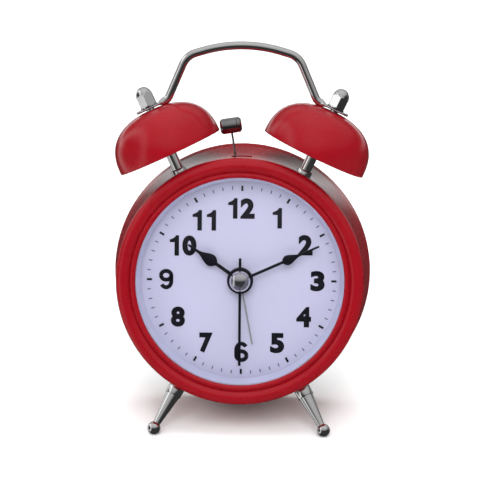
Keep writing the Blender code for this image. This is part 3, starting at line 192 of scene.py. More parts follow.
class Value:
    """What a node gives. Arithmetic on it adds Math nodes."""

    def __init__(self, nodes, socket):
        self.nodes = nodes
        self.socket = socket

    def math(self, operation, *terms):
        return self.nodes.node("ShaderNodeMath", {"operation": operation}, dict(enumerate(terms)))

    def __add__(self, other):
        return self.math("ADD", self, other)

    def __radd__(self, other):
        return self.math("ADD", other, self)

    def __sub__(self, other):
        return self.math("SUBTRACT", self, other)

    def __rsub__(self, other):
        return self.math("SUBTRACT", other, self)

    def __mul__(self, other):
        return self.math("MULTIPLY", self, other)

    def __rmul__(self, other):
        return self.math("MULTIPLY", other, self)

    def __pow__(self, other):
        return self.math("POWER", self, other)

    def __gt__(self, other):
        return self.math("GREATER_THAN", self, other)

    def __lt__(self, other):
        return self.math("LESS_THAN", self, other)

    def __abs__(self):
        return self.math("ABSOLUTE", self)

    def clamp(self, low=0.0, high=1.0):
        return self.math("MAXIMUM", self.math("MINIMUM", self, high), low)


class Nodes:
    """A node tree and the shader that its nodes drive."""

    def __init__(self, tree, shader):
        self.tree = tree
        self.shader = tree.nodes[shader]

    def node(self, kind, settings=None, inputs=None, output=0):
        """Adds a node: its settings first, then the values or links of its sockets."""
        made = self.tree.nodes.new(kind)
        for name, value in (settings or {}).items():
            if name == "ramp":
                self.fill_ramp(made.color_ramp, value)
            else:
                setattr(made, name, value)
        for name, value in (inputs or {}).items():
            if isinstance(value, Value):
                self.tree.links.new(value.socket, made.inputs[name])
            else:
                made.inputs[name].default_value = value
        return Value(self, made.outputs[output])

    @staticmethod
    def fill_ramp(ramp, stops):
        while len(ramp.elements) < len(stops):
            ramp.elements.new(0.5)
        for element, (place, value) in zip(ramp.elements, stops):
            element.position = place
            element.color = (value, value, value, 1.0)

    def link(self, socket, value):
        self.tree.links.new(value.socket, self.shader.inputs[socket])


class Surface(Nodes):
    """A material with a Principled shader. Constants name the shader's sockets."""

    def __init__(self, name, **constants):
        self.material = bpy.data.materials.new(name)
        self.material.use_nodes = True
        super().__init__(self.material.node_tree, "Principled BSDF")
        for socket, value in constants.items():
            self.shader.inputs[socket.replace("_", " ")].default_value = value

    def place(self):
        """Object coordinates, in metres."""
        return self.node("ShaderNodeTexCoord", output="Object")

    def stretched(self, scale):
        return self.node("ShaderNodeMapping", None, {"Vector": self.place(), "Scale": scale})

    def noise(self, scale, detail=3.0, roughness=0.55, vector=None):
        inputs = {"Scale": scale, "Detail": detail, "Roughness": roughness}
        inputs["Vector"] = vector or self.place()
        return self.node("ShaderNodeTexNoise", None, inputs, "Fac")

    def blend(self, share, first, second):
        return self.node("ShaderNodeMix", {"data_type": "RGBA"}, {0: share, 6: first, 7: second}, 2)

    def bump(self, height, strength, distance):
        inputs = {"Height": height, "Strength": strength, "Distance": distance}
        self.link("Normal", self.node("ShaderNodeBump", None, inputs))


FINISHES = {}


def finish_of(name):
    """The material of a finish, made the first time that it is asked for."""
    if name not in FINISHES:
        if name in METALS:
            FINISHES[name] = metal(name, *METALS[name])
        elif name in MOULDED:
            FINISHES[name] = moulded(name, *MOULDED[name])
        else:
            FINISHES[name] = MAKERS[name]()
    return FINISHES[name]


def shade(tint, factor):
    return (*[channel * factor for channel in tint], 1.0)


def red_enamel():
    """Sprayed and baked enamel: deep red with faint orange peel and a clear gloss."""
    look = Surface(
        "red_enamel", Coat_Weight=0.45, Coat_Roughness=0.05, Coat_IOR=1.45, Specular_IOR_Level=0.12
    )
    base = colours().enamel
    cloud = look.noise(90.0, 2.0)
    look.link("Base Color", look.blend(cloud, shade(base, 0.90), shade(base, 1.12)))
    smear = look.noise(260.0, 4.0, 0.6)
    look.link("Roughness", 0.24 + 0.08 * smear)
    peel = look.noise(520.0, 2.0, 0.5)
    look.bump(peel, 0.015, 0.0001)
    return look.material


def chrome_plate():
    """Bright plating with faint polishing haze."""
    look = Surface("chrome_plate", Metallic=1.0)
    base = colours().chrome
    haze = look.noise(160.0, 4.0, 0.6)
    look.link("Base Color", look.blend(haze, shade(base, 0.90), shade(base, 1.06)))
    look.link("Roughness", 0.05 + 0.09 * haze)
    ripple = look.noise(420.0, 2.0)
    look.bump(ripple, 0.05, 0.00012)
    return look.material


# Tint, roughness, fineness and depth of the grain, and how it is drawn out
METALS = {
    "hammer_steel": ((0.36, 0.35, 0.36), 0.17, 1500.0, 0.05, (0.15, 1.0, 1.0)),
    "plain_steel": ((0.48, 0.475, 0.47), 0.27, 2200.0, 0.06, (0.3, 1.0, 1.0)),
    "brass": ((0.68, 0.46, 0.17), 0.25, 1800.0, 0.05, (1.0, 1.0, 1.0)),
}


def metal(name, tint, rough, grain, depth, scale):
    """Bare or plated metal with a directional grain."""
    look = Surface(name, Metallic=1.0)
    vector = look.stretched(scale)
    streak = look.noise(grain, 4.0, 0.65, vector)
    patch = look.noise(140.0, 3.0)
    look.link("Base Color", look.blend(patch, shade(tint, 0.82), shade(tint, 1.12)))
    look.link("Roughness", (rough + 0.18 * (streak - 0.5)).clamp(0.04, 0.9))
    look.bump(streak, depth, 0.0002)
    return look.material


def copper_winding():
    """Fine enamelled wire, wound turn beside turn across the coil, with painted shade in the
    grooves between the turns.
    """
    look = Surface("copper_winding", Metallic=0.9)
    turns = look.node(
        "ShaderNodeTexWave",
        {"wave_type": "BANDS", "bands_direction": "X", "wave_profile": "SIN"},
        {"Vector": look.place(), "Scale": 1400.0, "Distortion": 0.3, "Detail": 1.0},
        "Fac",
    )
    # Painted shade: the colour darkens to brown in the grooves between the turns and is the wire's
    # own copper on their crests.
    look.link("Base Color", look.blend(turns, (0.20, 0.055, 0.02, 1), (0.62, 0.24, 0.10, 1)))
    look.link("Roughness", 0.28 + 0.2 * turns)
    look.bump(turns, 0.6, 0.0001)
    return look.material


def clear_lens():
    """Thin clear plastic: seen through, with a gloss that grows towards the edge."""
    look = Surface("clear_lens")
    through = look.node("ShaderNodeBsdfTransparent", None, {"Color": (0.975, 0.975, 0.985, 1)})
    gloss = look.node("ShaderNodeBsdfGlossy", None, {"Color": (1, 1, 1, 1), "Roughness": 0.03})
    edge = look.node("ShaderNodeFresnel", None, {"IOR": 1.45})
    share = (edge * 0.35).clamp(0.0, 0.5)
    mixed = look.node("ShaderNodeMixShader", None, {0: share, 1: through, 2: gloss})
    look.tree.links.new(mixed.socket, look.tree.nodes["Material Output"].inputs["Surface"])
    look.tree.nodes.remove(look.shader)
    return look.material


def printed_dial():
    """Satin card of the dial, with a faint fibre in it."""
    look = Surface("printed_dial", IOR=1.45)
    base = colours().dial
    fibre = look.noise(1500.0, 5.0, 0.65)
    broad = look.noise(45.0, 2.0)
    tone = fibre * 0.4 + broad * 0.6
    look.link("Base Color", look.blend(tone, shade(base, 0.955), shade(base, 1.03)))
    look.link("Roughness", 0.42 + 0.12 * fibre)
    look.bump(fibre, 0.04, 0.00004)
    return look.material


# Tint, or the name of the colour that sets it, roughness, and fineness and depth of the grain
MOULDED = {
    "white_ring": ((0.53, 0.54, 0.70), 0.36, 900.0, 0.03),
    "white_plastic": ((0.66, 0.66, 0.65), 0.38, 1100.0, 0.05),
    "black_plastic": ("plastic", 0.36, 1600.0, 0.22),
    "black_hands": ("ink", 0.30, 1200.0, 0.03),
    "silver_hand": ((0.30, 0.30, 0.31), 0.34, 1800.0, 0.03),
    "dial_ink": ("ink", 0.42, 2400.0, 0.05),
    "pale_ink": ((0.10, 0.10, 0.15), 0.42, 2400.0, 0.05),
}


def moulded(name, tint, rough, grain, depth):
    """Moulded plastic, lacquer or ink, with a fine grain and a slight drift of colour."""
    if isinstance(tint, str):
        tint = tuple(getattr(colours(), tint))
    look = Surface(name, IOR=1.46)
    spark = look.noise(grain, 4.0, 0.7)
    drift = look.noise(60.0, 2.0)
    look.link("Base Color", look.blend(drift, shade(tint, 0.9), shade(tint, 1.1)))
    look.link("Roughness", rough + 0.16 * spark)
    look.bump(spark, depth, 0.0001)
    return look.material


def board():
    """Green solder mask over copper tracks."""
    look = Surface("board", Coat_Weight=0.4, Coat_Roughness=0.2)
    cells = look.node(
        "ShaderNodeTexVoronoi",
        {"feature": "DISTANCE_TO_EDGE"},
        {"Vector": look.place(), "Scale": 420.0},
        "Distance",
    )
    track = cells < 0.08
    look.link("Base Color", look.blend(track, (0.012, 0.12, 0.045, 1), (0.05, 0.26, 0.10, 1)))
    look.link("Roughness", 0.36 + 0.14 * track)
    look.bump(track, 0.3, 0.0001)
    return look.material


def battery_sleeve():
    """Shrunk sleeve of a single cell: black, with a gold band towards the positive end."""
    look = Surface("battery_sleeve", Coat_Weight=0.7, Coat_Roughness=0.08)
    low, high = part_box("battery")
    band_start = low.x + 0.68 * (high.x - low.x)
    across = look.node("ShaderNodeSeparateXYZ", None, {"Vector": look.place()}, "X")
    gold = across > band_start
    crease = look.noise(300.0, 4.0)
    look.link("Base Color", look.blend(gold, (0.012, 0.012, 0.014, 1), (0.60, 0.30, 0.07, 1)))
    look.link("Metallic", 0.75 * gold)
    look.link("Roughness", 0.24 + 0.14 * crease)
    look.bump(crease, 0.08, 0.0003)
    return look.material


def studio_floor():
    """Pale, matt sweep of paper."""
    look = Surface("studio_floor", Roughness=0.8, Specular_IOR_Level=0.15)
    pulp = look.noise(3.0, 3.0)
    look.link("Base Color", look.blend(pulp, (0.90, 0.90, 0.90, 1), (0.93, 0.93, 0.93, 1)))
    return look.material


MAKERS = {
    maker.__name__: maker
    for maker in (
        red_enamel, chrome_plate, copper_winding, clear_lens, printed_dial, board, battery_sleeve,
        studio_floor,
    )
}


# ---------------------------------------------------------------- drawing by operators


def deselect():
    bpy.ops.object.select_all(action="DESELECT")


def pick(*parts):
    """Selects these objects and nothing else, with the first one active."""
    deselect()
    for part in parts:
        part.select_set(True)
    bpy.context.view_layer.objects.active = parts[0]


def applied(made, modifier):
    bpy.context.view_layer.objects.active = made
    bpy.ops.object.modifier_apply(modifier=modifier.name)
    return made


def named(name):
    made = bpy.context.object
    made.name = name
    made.data.name = name
    return made


def begin_ring(name, segments, radius, height=0.0, filled=False):
    """Starts a turned piece: one ring about Z, in edit mode with the ring selected."""
    deselect()
    fill = "TRIFAN" if filled else "NOTHING"
    bpy.ops.mesh.primitive_circle_add(
        vertices=segments, radius=radius, fill_type=fill, enter_editmode=True
    )
    made = named(name)
    bpy.ops.transform.translate(value=(0, 0, height))
    if filled:
        select_points(made, lambda co: math.hypot(co.x, co.y) > radius / 2)
    return made


def select_points(made, test):
    """In edit mode, selects the points that pass the test and nothing else."""
    mesh = bmesh.from_edit_mesh(made.data)
    for item in (*mesh.verts, *mesh.edges, *mesh.faces):
        item.select = False
    for vert in mesh.verts:
        vert.select = bool(test(vert.co))
    mesh.select_mode = {"VERT"}
    mesh.select_flush(True)
    bmesh.update_edit_mesh(made.data)


def draw_ring(before, after, rise):
    """Extrudes the selected ring and sizes it to the next radius, or closes it at a pole."""
    bpy.ops.mesh.extrude_region_move(TRANSFORM_OT_translate={"value": (0, 0, rise)})
    if after > 0:
        factor = after / before
        bpy.ops.transform.resize(value=(factor, factor, 1), center_override=(0, 0, 0))
    else:
        bpy.ops.mesh.merge(type="CENTER")


def close_seam():
    """Bridges the first ring and the last, for a profile that comes back to its start."""
    bpy.ops.mesh.select_all(action="DESELECT")
    bpy.ops.mesh.select_non_manifold()
    bpy.ops.mesh.bridge_edge_loops()


def tidy_mesh():
    bpy.ops.mesh.select_all(action="SELECT")
    bpy.ops.mesh.remove_doubles(threshold=1e-7)
    bpy.ops.mesh.normals_make_consistent(inside=False)
    bpy.ops.object.mode_set(mode="OBJECT")


def turned(name, profile, segments):
    """Solid turned about Z from (radius, height) points.

    A profile starts flat on the axis or off it. Off the axis at both ends, it closes on itself.
    """
    flat_start = profile[0][0] == 0
    points = profile[1:] if flat_start else profile
    made = begin_ring(name, segments, points[0][0], points[0][1], flat_start)
    for (before, low), (after, high) in zip(points, points[1:]):
        draw_ring(before, after, high - low)
    if not flat_start and points[-1][0] > 0:
        close_seam()
    tidy_mesh()
    return made


def arc(centre, radius, start, end, steps):
    """Points on an arc, from the angle start to the angle end in degrees."""
    angles = [math.radians(start + (end - start) * i / steps) for i in range(steps + 1)]
    return [(centre[0] + radius * math.cos(a), centre[1] + radius * math.sin(a)) for a in angles]


def outline(radius, height, *steps):
    """Profile points at steps in millimetres, outwards and upwards, from a radius and a height."""
    return [(radius + out * MM, height + up * MM) for out, up in steps]


def even(stations):
    """Stations of a blade that is as wide to the left as to the right, from (y, half width)."""
    return [(y, -half, half) for y, half in stations]


def eased(points, steps=6):
    """A smooth line through (radius, height) points, drawn as a cardinal spline."""
    ends = [points[0], *points, points[-1]]
    line = []
    for a, b, c, d in zip(ends, ends[1:], ends[2:], ends[3:]):
        for i in range(steps):
            t = i / steps
            line.append(tuple(cardinal(t, *four) for four in zip(a, b, c, d)))
    return [*line, points[-1]]


def cardinal(t, a, b, c, d):
    """Value between b and c of a smooth curve through four numbers."""
    slope_in, slope_out = (c - a) / 2, (d - b) / 2
    return (
        (2 * t**3 - 3 * t**2 + 1) * b
        + (t**3 - 2 * t**2 + t) * slope_in
        + (3 * t**2 - 2 * t**3) * c
        + (t**3 - t**2) * slope_out
    )


def strip(name, stations):
    """Flat blade along +Y from (y, left, right) stations."""
    deselect()
    bpy.ops.mesh.primitive_plane_add(size=1, enter_editmode=True)
    made = named(name)
    (low, left, right), (high, next_left, next_right) = stations[:2]
    bpy.ops.transform.resize(value=(right - left, high - low, 1), center_override=(0, 0, 0))
    bpy.ops.transform.translate(value=((left + right) / 2, (low + high) / 2, 0))
    middle = (low + high) / 2
    select_points(made, lambda co: co.y > middle)
    size_edge((left, right), (next_left, next_right), high)
    for (y, left, right), (next_y, next_left, next_right) in zip(stations[1:], stations[2:]):
        bpy.ops.mesh.extrude_region_move(TRANSFORM_OT_translate={"value": (0, next_y - y, 0)})
        size_edge((left, right), (next_left, next_right), next_y)
    bpy.ops.object.mode_set(mode="OBJECT")
    return made


def size_edge(before, after, y):
    """Widens and shifts the selected edge of a strip."""
    factor = (after[1] - after[0]) / (before[1] - before[0])
    centre = (before[0] + before[1]) / 2
    bpy.ops.transform.resize(value=(factor, 1, 1), center_override=(centre, y, 0))
    bpy.ops.transform.translate(value=((after[0] + after[1]) / 2 - centre, 0, 0))


def thicken(made, wall, offset=-1.0):
    """Gives a flat piece its wall, below the face that it was drawn on. Offset 1 puts it above."""
    pick(made)
    solid = made.modifiers.new("Wall", "SOLIDIFY")
    solid.thickness = wall
    solid.offset = offset
    solid.use_even_offset = True
    return applied(made, solid)


def soften(made, width, segments=2, limit=40.0):
    edge = made.modifiers.new("Soft edge", "BEVEL")
    edge.width = width
    edge.segments = segments
    edge.limit_method = "ANGLE"
    edge.angle_limit = math.radians(limit)
    return applied(made, edge)


def combine(made, other, operation):
    """Adds another piece to this one, or takes it away, and removes it."""
    step = made.modifiers.new(operation.title(), "BOOLEAN")
    step.operation = operation
    step.object = other
    step.solver = "EXACT"
    applied(made, step)
    bpy.data.objects.remove(other)
    return made


def joined(name, parts):
    """Several pieces made one object, each keeping its own closed surface."""
    pick(*parts)
    bpy.ops.object.join()
    return named(name)


def settle(made, matrix):
    """Puts a matrix into a piece's mesh and leaves the object at the origin."""
    pick(made)
    made.matrix_world = matrix @ made.matrix_world
    bpy.ops.object.transform_apply(location=True, rotation=True, scale=True)
    return made


def copy_of(made, name):
    pick(made)
    bpy.ops.object.duplicate()
    return named(name)


def complete(made, finish, body, nodes=(), local=None, smooth=SMOOTH_ANGLE):
    """Stands a piece up in its place, gives it its finish and puts it on its body."""
    settle(made, STAND @ (local or Matrix()))
    made.data.materials.clear()
    made.data.materials.append(finish_of(finish))
    pick(made)
    bpy.ops.object.shade_smooth_by_angle(angle=smooth)
    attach(made, body)
    if nodes:
        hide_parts(*nodes)
    return made


def along(direction, root=(0, 0, 0)):
    """Matrix that puts a piece drawn along +Z on a root point, pointing along a direction."""
    return Matrix.Translation(root) @ Vector(direction).to_track_quat("Z", "Y").to_matrix().to_4x4()


def spun(degrees, height=0.0):
    """Matrix that turns a hand clockwise from twelve and lifts it to its height."""
    return Matrix.Translation((0, 0, height)) @ Matrix.Rotation(-math.radians(degrees), 4, "Z")


# ---------------------------------------------------------------- case and face


def draw_case():
    """Flared drum with a rolled rear edge, cut through for the hammer's wire."""
    size = sizes()
    steps = 14
    depths = [FLARE_START + (size.case_rear - FLARE_START) * i / steps for i in range(steps + 1)]
    outer = [(size.case_front_radius, -size.case_front)]
    outer += [(case_radius(d), -d) for d in depths[:-1]]
    centre = (case_radius(size.case_rear) - size.bead + 0.2 * MM, -size.case_rear)
    bead = arc(centre, size.bead, 12, -200, 12)
    inner = [(case_radius(d) - size.sheet, -d) for d in reversed(depths[1:-1])]
    front = [(size.case_front_radius - size.sheet, -size.case_front)]
    made = turned("case", outer + bead + inner + front, LARGE)
    reach, half, width = 4.0 * MM, 3.5 * MM, 2.4 * MM
    slot = thicken(strip("slot", even([(-reach, half), (reach, half)])), width)
    settle(slot, Matrix.Translation((0, case_radius(size.bell_depth), width / 2 - size.bell_depth)))
    combine(made, slot, "DIFFERENCE")
    return complete(made, "red_enamel", "case", ["case_shell"])


def draw_bezel():
    """Pressed ring: a narrow bead round the glass, a groove, and the broad rounded ring."""
    size = sizes()
    inner, skirt = size.opening, size.skirt
    face = outline(
        inner, 0, (0, -1.9), (0.04, -1.05), (0.45, -0.58), (1.0, -0.46), (1.6, -0.70),
        (2.0, -1.12), (2.45, -0.62), (3.3, -0.17), (4.4, -0.01),
    )
    face += outline(skirt, 0, (-1.2, -0.42), (-0.45, -1.05), (-0.06, -2.1), (0, -3.2))
    hem = 0.4 * MM
    rolled = arc((skirt - hem, hem - size.skirt_depth), hem, 0, -170, 6)
    back = outline(skirt, 0, (-0.8, -3.2), (-1.5, -1.9))
    back += outline(inner, 0, (3.6, -1.4), (2.0, -2.0), (0.9, -1.8))
    made = turned("bezel", eased(face, 5) + rolled + back, LARGE)
    return complete(made, "red_enamel", "case", ["front_bezel"])


def draw_lens():
    """Domed glass with a flange that the ring presses against the bezel."""
    size = sizes()
    rim, wall, apex, sag = size.opening, 1.0 * MM, 1.2 * MM, 3.5 * MM
    steps = 12
    shares = [i / steps for i in range(1, steps + 1)]
    outer = [(rim * share, apex - sag * share**2) for share in shares]
    edge = outer[-1][1] - 0.05 * MM
    flange = [(rim + 1.2 * MM, edge), (rim + 1.2 * MM, edge - wall)]
    inner = [((rim - wall) * share, apex - wall - sag * share**2) for share in reversed(shares)]
    made = turned("glass", [(0, apex)] + outer + flange + inner + [(0, apex - wall)], LARGE)
    return complete(made, "clear_lens", "case", ["lens"])


def draw_dial():
    """Card of the dial, and the conical ring that holds it at the glass."""
    size = sizes()
    face = -size.dial_depth
    hole, wall = 3.6 * MM, 0.5 * MM
    card = [(hole, face), (size.dial_radius, face)]
    card += [(size.dial_radius, face - wall), (hole, face - wall)]
    made = turned("dial_card", card, LARGE)
    complete(made, "printed_dial", "case", ["dial"])
    front, foot = -3.8 * MM, -7.7 * MM
    ring = outline(0, front, (35.4, 0), (35.15, -0.5))
    ring += outline(0, foot, (34.05, 0.25), (34.0, 0))
    ring += outline(size.dial_radius, foot, (0, 0), (0, 0.8)) + [(36.7 * MM, front)]
    return complete(turned("dial_surround", ring, LARGE), "white_ring", "case", ["dial_ring"])


# The printing sits a little off the hands' axis.
PRINT_SHIFT = Vector((0.45, -0.2, 0)) * MM
# Middle of each hour's figures, in millimetres
NUMERAL_SPOTS = {
    1: (12.0, 21.5), 2: (21.75, 12.35), 3: (26.0, 0.0), 4: (21.4, -12.5), 5: (12.4, -21.6),
    6: (0.15, -24.8), 7: (-12.05, -21.75), 8: (-21.75, -12.85), 9: (-25.85, 0.1),
    10: (-20.1, 11.75), 11: (-12.9, 20.5), 12: (-0.25, 24.7),
}
# Widths of the figures and the gaps inside a pair, in millimetres
DIGIT_WIDTHS = {"1": 3.2, "4": 5.1, "7": 4.65}
USUAL_WIDTH = 4.9
DIGIT_GAP = {12: 1.0, 11: 1.65, 10: 1.1}
# Thickness of the ink, and how far its underside stands off the card
INK_WALL = 0.02 * MM
INK_LIFT = 0.01 * MM
# How much the strokes of the lettering are fattened, which makes it bold
BOLD = 0.055
# Half width of a mark's stroke, and the ring that it spans
HOUR_MARK = (0.375 * MM, 30.7 * MM, 32.5 * MM)
MINUTE_MARK = (0.18 * MM, 31.3 * MM, 32.5 * MM)


def print_place():
    return Matrix.Translation(PRINT_SHIFT + Vector((0, 0, INK_LIFT - sizes().dial_depth)))


def draw_one():
    """Figure one without a foot: a stem and a short flag, one unit high."""
    stem, width = 0.235, 0.4539
    stations = [
        (0.0, stem, width),
        (0.655, stem, width),
        (0.66, 0.0, width),
        (0.79, 0.0, width),
        (0.83, 0.11, width),
        (0.875, 0.2, width),
        (0.93, 0.265, width),
        (1.0, 0.3, width),
    ]
    return strip("figure", stations)


def ribbon(name, points, half):
    """Flat stroke of constant width along a line of points."""
    deselect()
    corners = []
    for i, (x, y) in enumerate(points):
        ahead, behind = points[min(i + 1, len(points) - 1)], points[max(i - 1, 0)]
        heading = Vector((ahead[0] - behind[0], ahead[1] - behind[1])).normalized() * half
        corners += [(x - heading.y, y + heading.x, 0), (x + heading.y, y - heading.x, 0)]
    faces = [(2 * i, 2 * i + 1, 2 * i + 3, 2 * i + 2) for i in range(len(points) - 1)]
    mesh = bpy.data.meshes.new(name)
    mesh.from_pydata(corners, [], faces)
    made = bpy.data.objects.new(name, mesh)
    bpy.context.scene.collection.objects.link(made)
    bpy.context.view_layer.objects.active = made
    bpy.ops.object.mode_set(mode="EDIT")
    tidy_mesh()
    for polygon in mesh.polygons:
        if polygon.normal.z < 0:
            polygon.flip()
    return made


def draw_six():
    """Figure six, one unit high: a round bowl and a tail that curls over it."""
    half, wide = 0.099, 0.695
    middle, bowl = wide / 2, 0.315
    reach, low = middle - half, bowl - half
    turns = [TURN * i / 36 for i in range(37)]
    ring = [(middle + reach * math.cos(a), bowl + low * math.sin(a)) for a in turns]
    top = 0.60
    tall = 1 - top - half
    over = [math.radians(180 - 148 * i / 18) for i in range(19)]
    tail = [(half, bowl + 0.02), (half, 0.5)]
    tail += [(middle + reach * math.cos(a), top + tall * math.sin(a)) for a in over]
    return joined("figure", [ribbon("bowl", ring, half), ribbon("tail", tail, half)])


def draw_figure(digit):
    """Bold figure as a flat mesh."""
    if digit == "1":
        return draw_one()
    if digit in "69":
        made = draw_six()
        return settle(made, Matrix.Rotation(math.pi, 4, "Z")) if digit == "9" else made
    deselect()
    bpy.ops.object.text_add()
    text = bpy.context.object
    text.data.body = digit
    text.data.offset = BOLD
    text.data.resolution_u = 4
    bpy.ops.object.convert(target="MESH")
    return named("figure")


def fitted(made, left, bottom, width, height):
    """Moves and sizes a flat piece so that its outline fills a box."""
    xs = [vert.co.x for vert in made.data.vertices]
    ys = [vert.co.y for vert in made.data.vertices]
    across, upwards = width / (max(xs) - min(xs)), height / (max(ys) - min(ys))
    size = Matrix.Diagonal((across, upwards, 1.0, 1.0))
    moved = Matrix.Translation((left - min(xs) * across, bottom - min(ys) * upwards, 0))
    return settle(made, moved @ size)


def draw_numerals():
    """Hours one to twelve, upright, printed on the dial."""
    size = sizes()
    tall = size.numeral_height
    for hour in range(1, 13):
        digits = str(hour)
        widths = [DIGIT_WIDTHS.get(digit, USUAL_WIDTH) * MM for digit in digits]
        gap = DIGIT_GAP.get(hour, 0.0) * MM
        total = sum(widths) + gap * (len(digits) - 1)
        x, y = NUMERAL_SPOTS[hour]
        left = x * MM - total / 2
        bottom = y * MM - tall / 2
        figures = []
        for digit, width in zip(digits, widths):
            figures.append(fitted(draw_figure(digit), left, bottom, width, tall))
            left += width + gap
        made = joined(f"numeral_{hour}", figures) if len(figures) > 1 else named(f"numeral_{hour}")
        thicken(made, INK_WALL, offset=1.0)
        complete(made, "dial_ink", "case", local=print_place())


def draw_marks(name, count, mark, finish, skip=0):
    """Marks round the dial, one drawn and spun into the rest."""
    half, inner, outer = mark
    made = strip(name, even([(inner, half), (outer, half)]))
    thicken(made, INK_WALL, offset=1.0)
    bpy.ops.object.mode_set(mode="EDIT")
    bpy.ops.mesh.select_all(action="SELECT")
    swept = TURN * (count - 1) / count
    bpy.ops.mesh.spin(dupli=True, steps=count - 1, angle=swept, center=(0, 0, 0), axis=(0, 0, 1))
    if skip:
        drop_marks(made, skip)
    bpy.ops.object.mode_set(mode="OBJECT")
    return complete(made, finish, "case", local=print_place())


def drop_marks(made, skip):
    """Deletes the marks that stand where the hours' own marks are."""
    sector = TURN / skip
    close = math.radians(1.5)

    def on_the_hour(co):
        turn = math.atan2(co.x, co.y) % sector
        return min(turn, sector - turn) < close

    select_points(made, on_the_hour)
    bpy.ops.mesh.delete(type="VERT")


# ---------------------------------------------------------------- hands


# Where each hand points, in degrees clockwise from twelve, and the height of its upper face
HOUR_PLACE = (304.2, -5.8 * MM)
MINUTE_PLACE = (65.7, -4.7 * MM)
ALARM_PLACE = (169.0, -6.9 * MM)
SECOND_PLACE = (180.0, -3.7 * MM)
# Each blade's half width at the stem, where it starts to swell, where it is widest and its half
# width there, where its taper ends, its half width at the tip, and its length, in millimetres
HOUR_BLADE = (0.6, 9.9, 12.1, 2.1, 18.0, 0.45, 21.5)
MINUTE_BLADE = (0.48, 15.9, 17.6, 1.7, 22.7, 0.4, 29.5)
# A blade is a little thinner than its hub and lies just under the hub's face.
BLADE_SHARE = 0.9
BLADE_SINK = Matrix.Translation((0, 0, -0.02 * MM))
HAND_EDGE = 0.06 * MM


def teardrop(*sizes_mm):
    """Stations of a blade whose width swells from a thin stem and runs out to a fine tip."""
    stem, start, widest, half, taper, tip, reach = [size * MM for size in sizes_mm]
    stations = [(2.0 * MM, stem), (start, stem)]
    swell, fall = 8, 10
    for share in [i / swell for i in range(1, swell + 1)]:
        width = stem + (half - stem) * math.sin(share * math.pi / 2) ** 0.8
        stations.append((start + (widest - start) * share, width))
    for share in [i / fall for i in range(1, fall + 1)]:
        width = tip + (half - tip) * (0.5 + 0.5 * math.cos(share * math.pi)) ** 1.15
        stations.append((widest + (taper - widest) * share, width))
    return stations + [(reach, tip * 0.8)]


def draw_disc(name, bore, radius, wall):
    """Flat disc with a hole, whose upper face is at zero."""
    return turned(name, [(bore, 0), (radius, 0), (radius, -wall), (bore, -wall)], MIDDLE)


def draw_blade(name, stations, bore, radius):
    """Stamped blade with a round hub."""
    wall = sizes().hand_wall
    made = thicken(strip(name, even(stations)), wall * BLADE_SHARE)
    settle(made, BLADE_SINK)
    combine(made, draw_disc("hub", bore, radius, wall), "UNION")
    return soften(made, HAND_EDGE)


def draw_hands():
    hub = sizes().hand_hub
    made = draw_blade("hour_blade", teardrop(*HOUR_BLADE), 2.45 * MM, hub)
    complete(made, "black_hands", "hour_works", ["hour_hand"], local=spun(*HOUR_PLACE))
    made = draw_blade("minute_blade", teardrop(*MINUTE_BLADE), 1.55 * MM, hub)
    complete(made, "black_hands", "minute_works", ["minute_hand"], local=spun(*MINUTE_PLACE))
    made = draw_blade("alarm_pointer", outline(0, 0, (2.9, 0.33), (22.6, 0.26)), 3.35 * MM, hub)
    complete(made, "silver_hand", "alarm_works", ["alarm_hand"], local=spun(*ALARM_PLACE))
    draw_second_hand()


def draw_second_hand():
    """Straight sweep hand with a rounded tail, and the domed cap over its boss."""
    stations = outline(-7.5 * MM, 0, (-0.45, 0.2), (0, 0.5), (0.45, 0.46))
    stations += outline(29.2 * MM, 0, (-0.4, 0.46), (0, 0.3))
    made = draw_blade("sweep_hand", stations, 0.6 * MM, 1.6 * MM)
    complete(made, "black_hands", "second_works", ["second_hand"], local=spun(*SECOND_PLACE))
    radius, tall, steps = 3.6 * MM, 2.6 * MM, 14
    turns = [math.pi / 2 * i / steps for i in range(2, steps)]
    dome = [(radius * math.cos(a), tall * math.sin(a) ** 0.92) for a in turns]
    skirt = [(0, 0)] + outline(radius, 0, (-0.25, 0), (0, 0.12), (0, 0.35))
    cap = turned("hub_cap", skirt + dome + [(0, tall)], SMALL)
    place = Matrix.Translation((0, 0, -3.4 * MM))
    complete(cap, "chrome_plate", "second_works", ["second_hand_cap"], local=place)


# ---------------------------------------------------------------- bells and handle


SIDES = ((-1, "left"), (1, "right"))
BELL_HOLE = 1.7 * MM
NUT_WAIST = 3.55 * MM
# Height of a cap nut's underside over its bell
NUT_SEAT = 1.6 * MM


def bell_axis(side):
    tilt = sizes().bell_tilt
    return Vector((side * math.sin(tilt), math.cos(tilt), 0))


def post_root(side):
    size = sizes()
    y = math.sqrt(case_radius(size.bell_depth) ** 2 - size.post_x**2)
    return Vector((side * size.post_x, y, -size.bell_depth))


def draw_bell():
    """Pressed dome, flatter than a ball, with a softly rolled rim and a hole for its post."""
    size = sizes()
    wall = size.sheet
    steps = 26
    turns = [math.pi / 2 * i / steps for i in range(steps)]

    def dome(radius, tall, angles):
        line = [(radius * math.cos(a) ** 0.84, tall * math.sin(a) ** 0.77) for a in angles]
        return [point for point in line if point[0] > BELL_HOLE + 0.3 * MM]

    outer = dome(size.bell_radius, size.bell_height, turns[1:])
    inner = dome(size.bell_radius - wall, size.bell_height - wall, turns[1:])
    rim = arc((size.bell_radius - wall / 2, 0.35 * MM), wall / 2, -180, 0, 8)
    crown = [(BELL_HOLE, size.bell_height), (BELL_HOLE, size.bell_height - wall)]
    return turned("bell", rim + outer + crown + inner[::-1], LARGE)


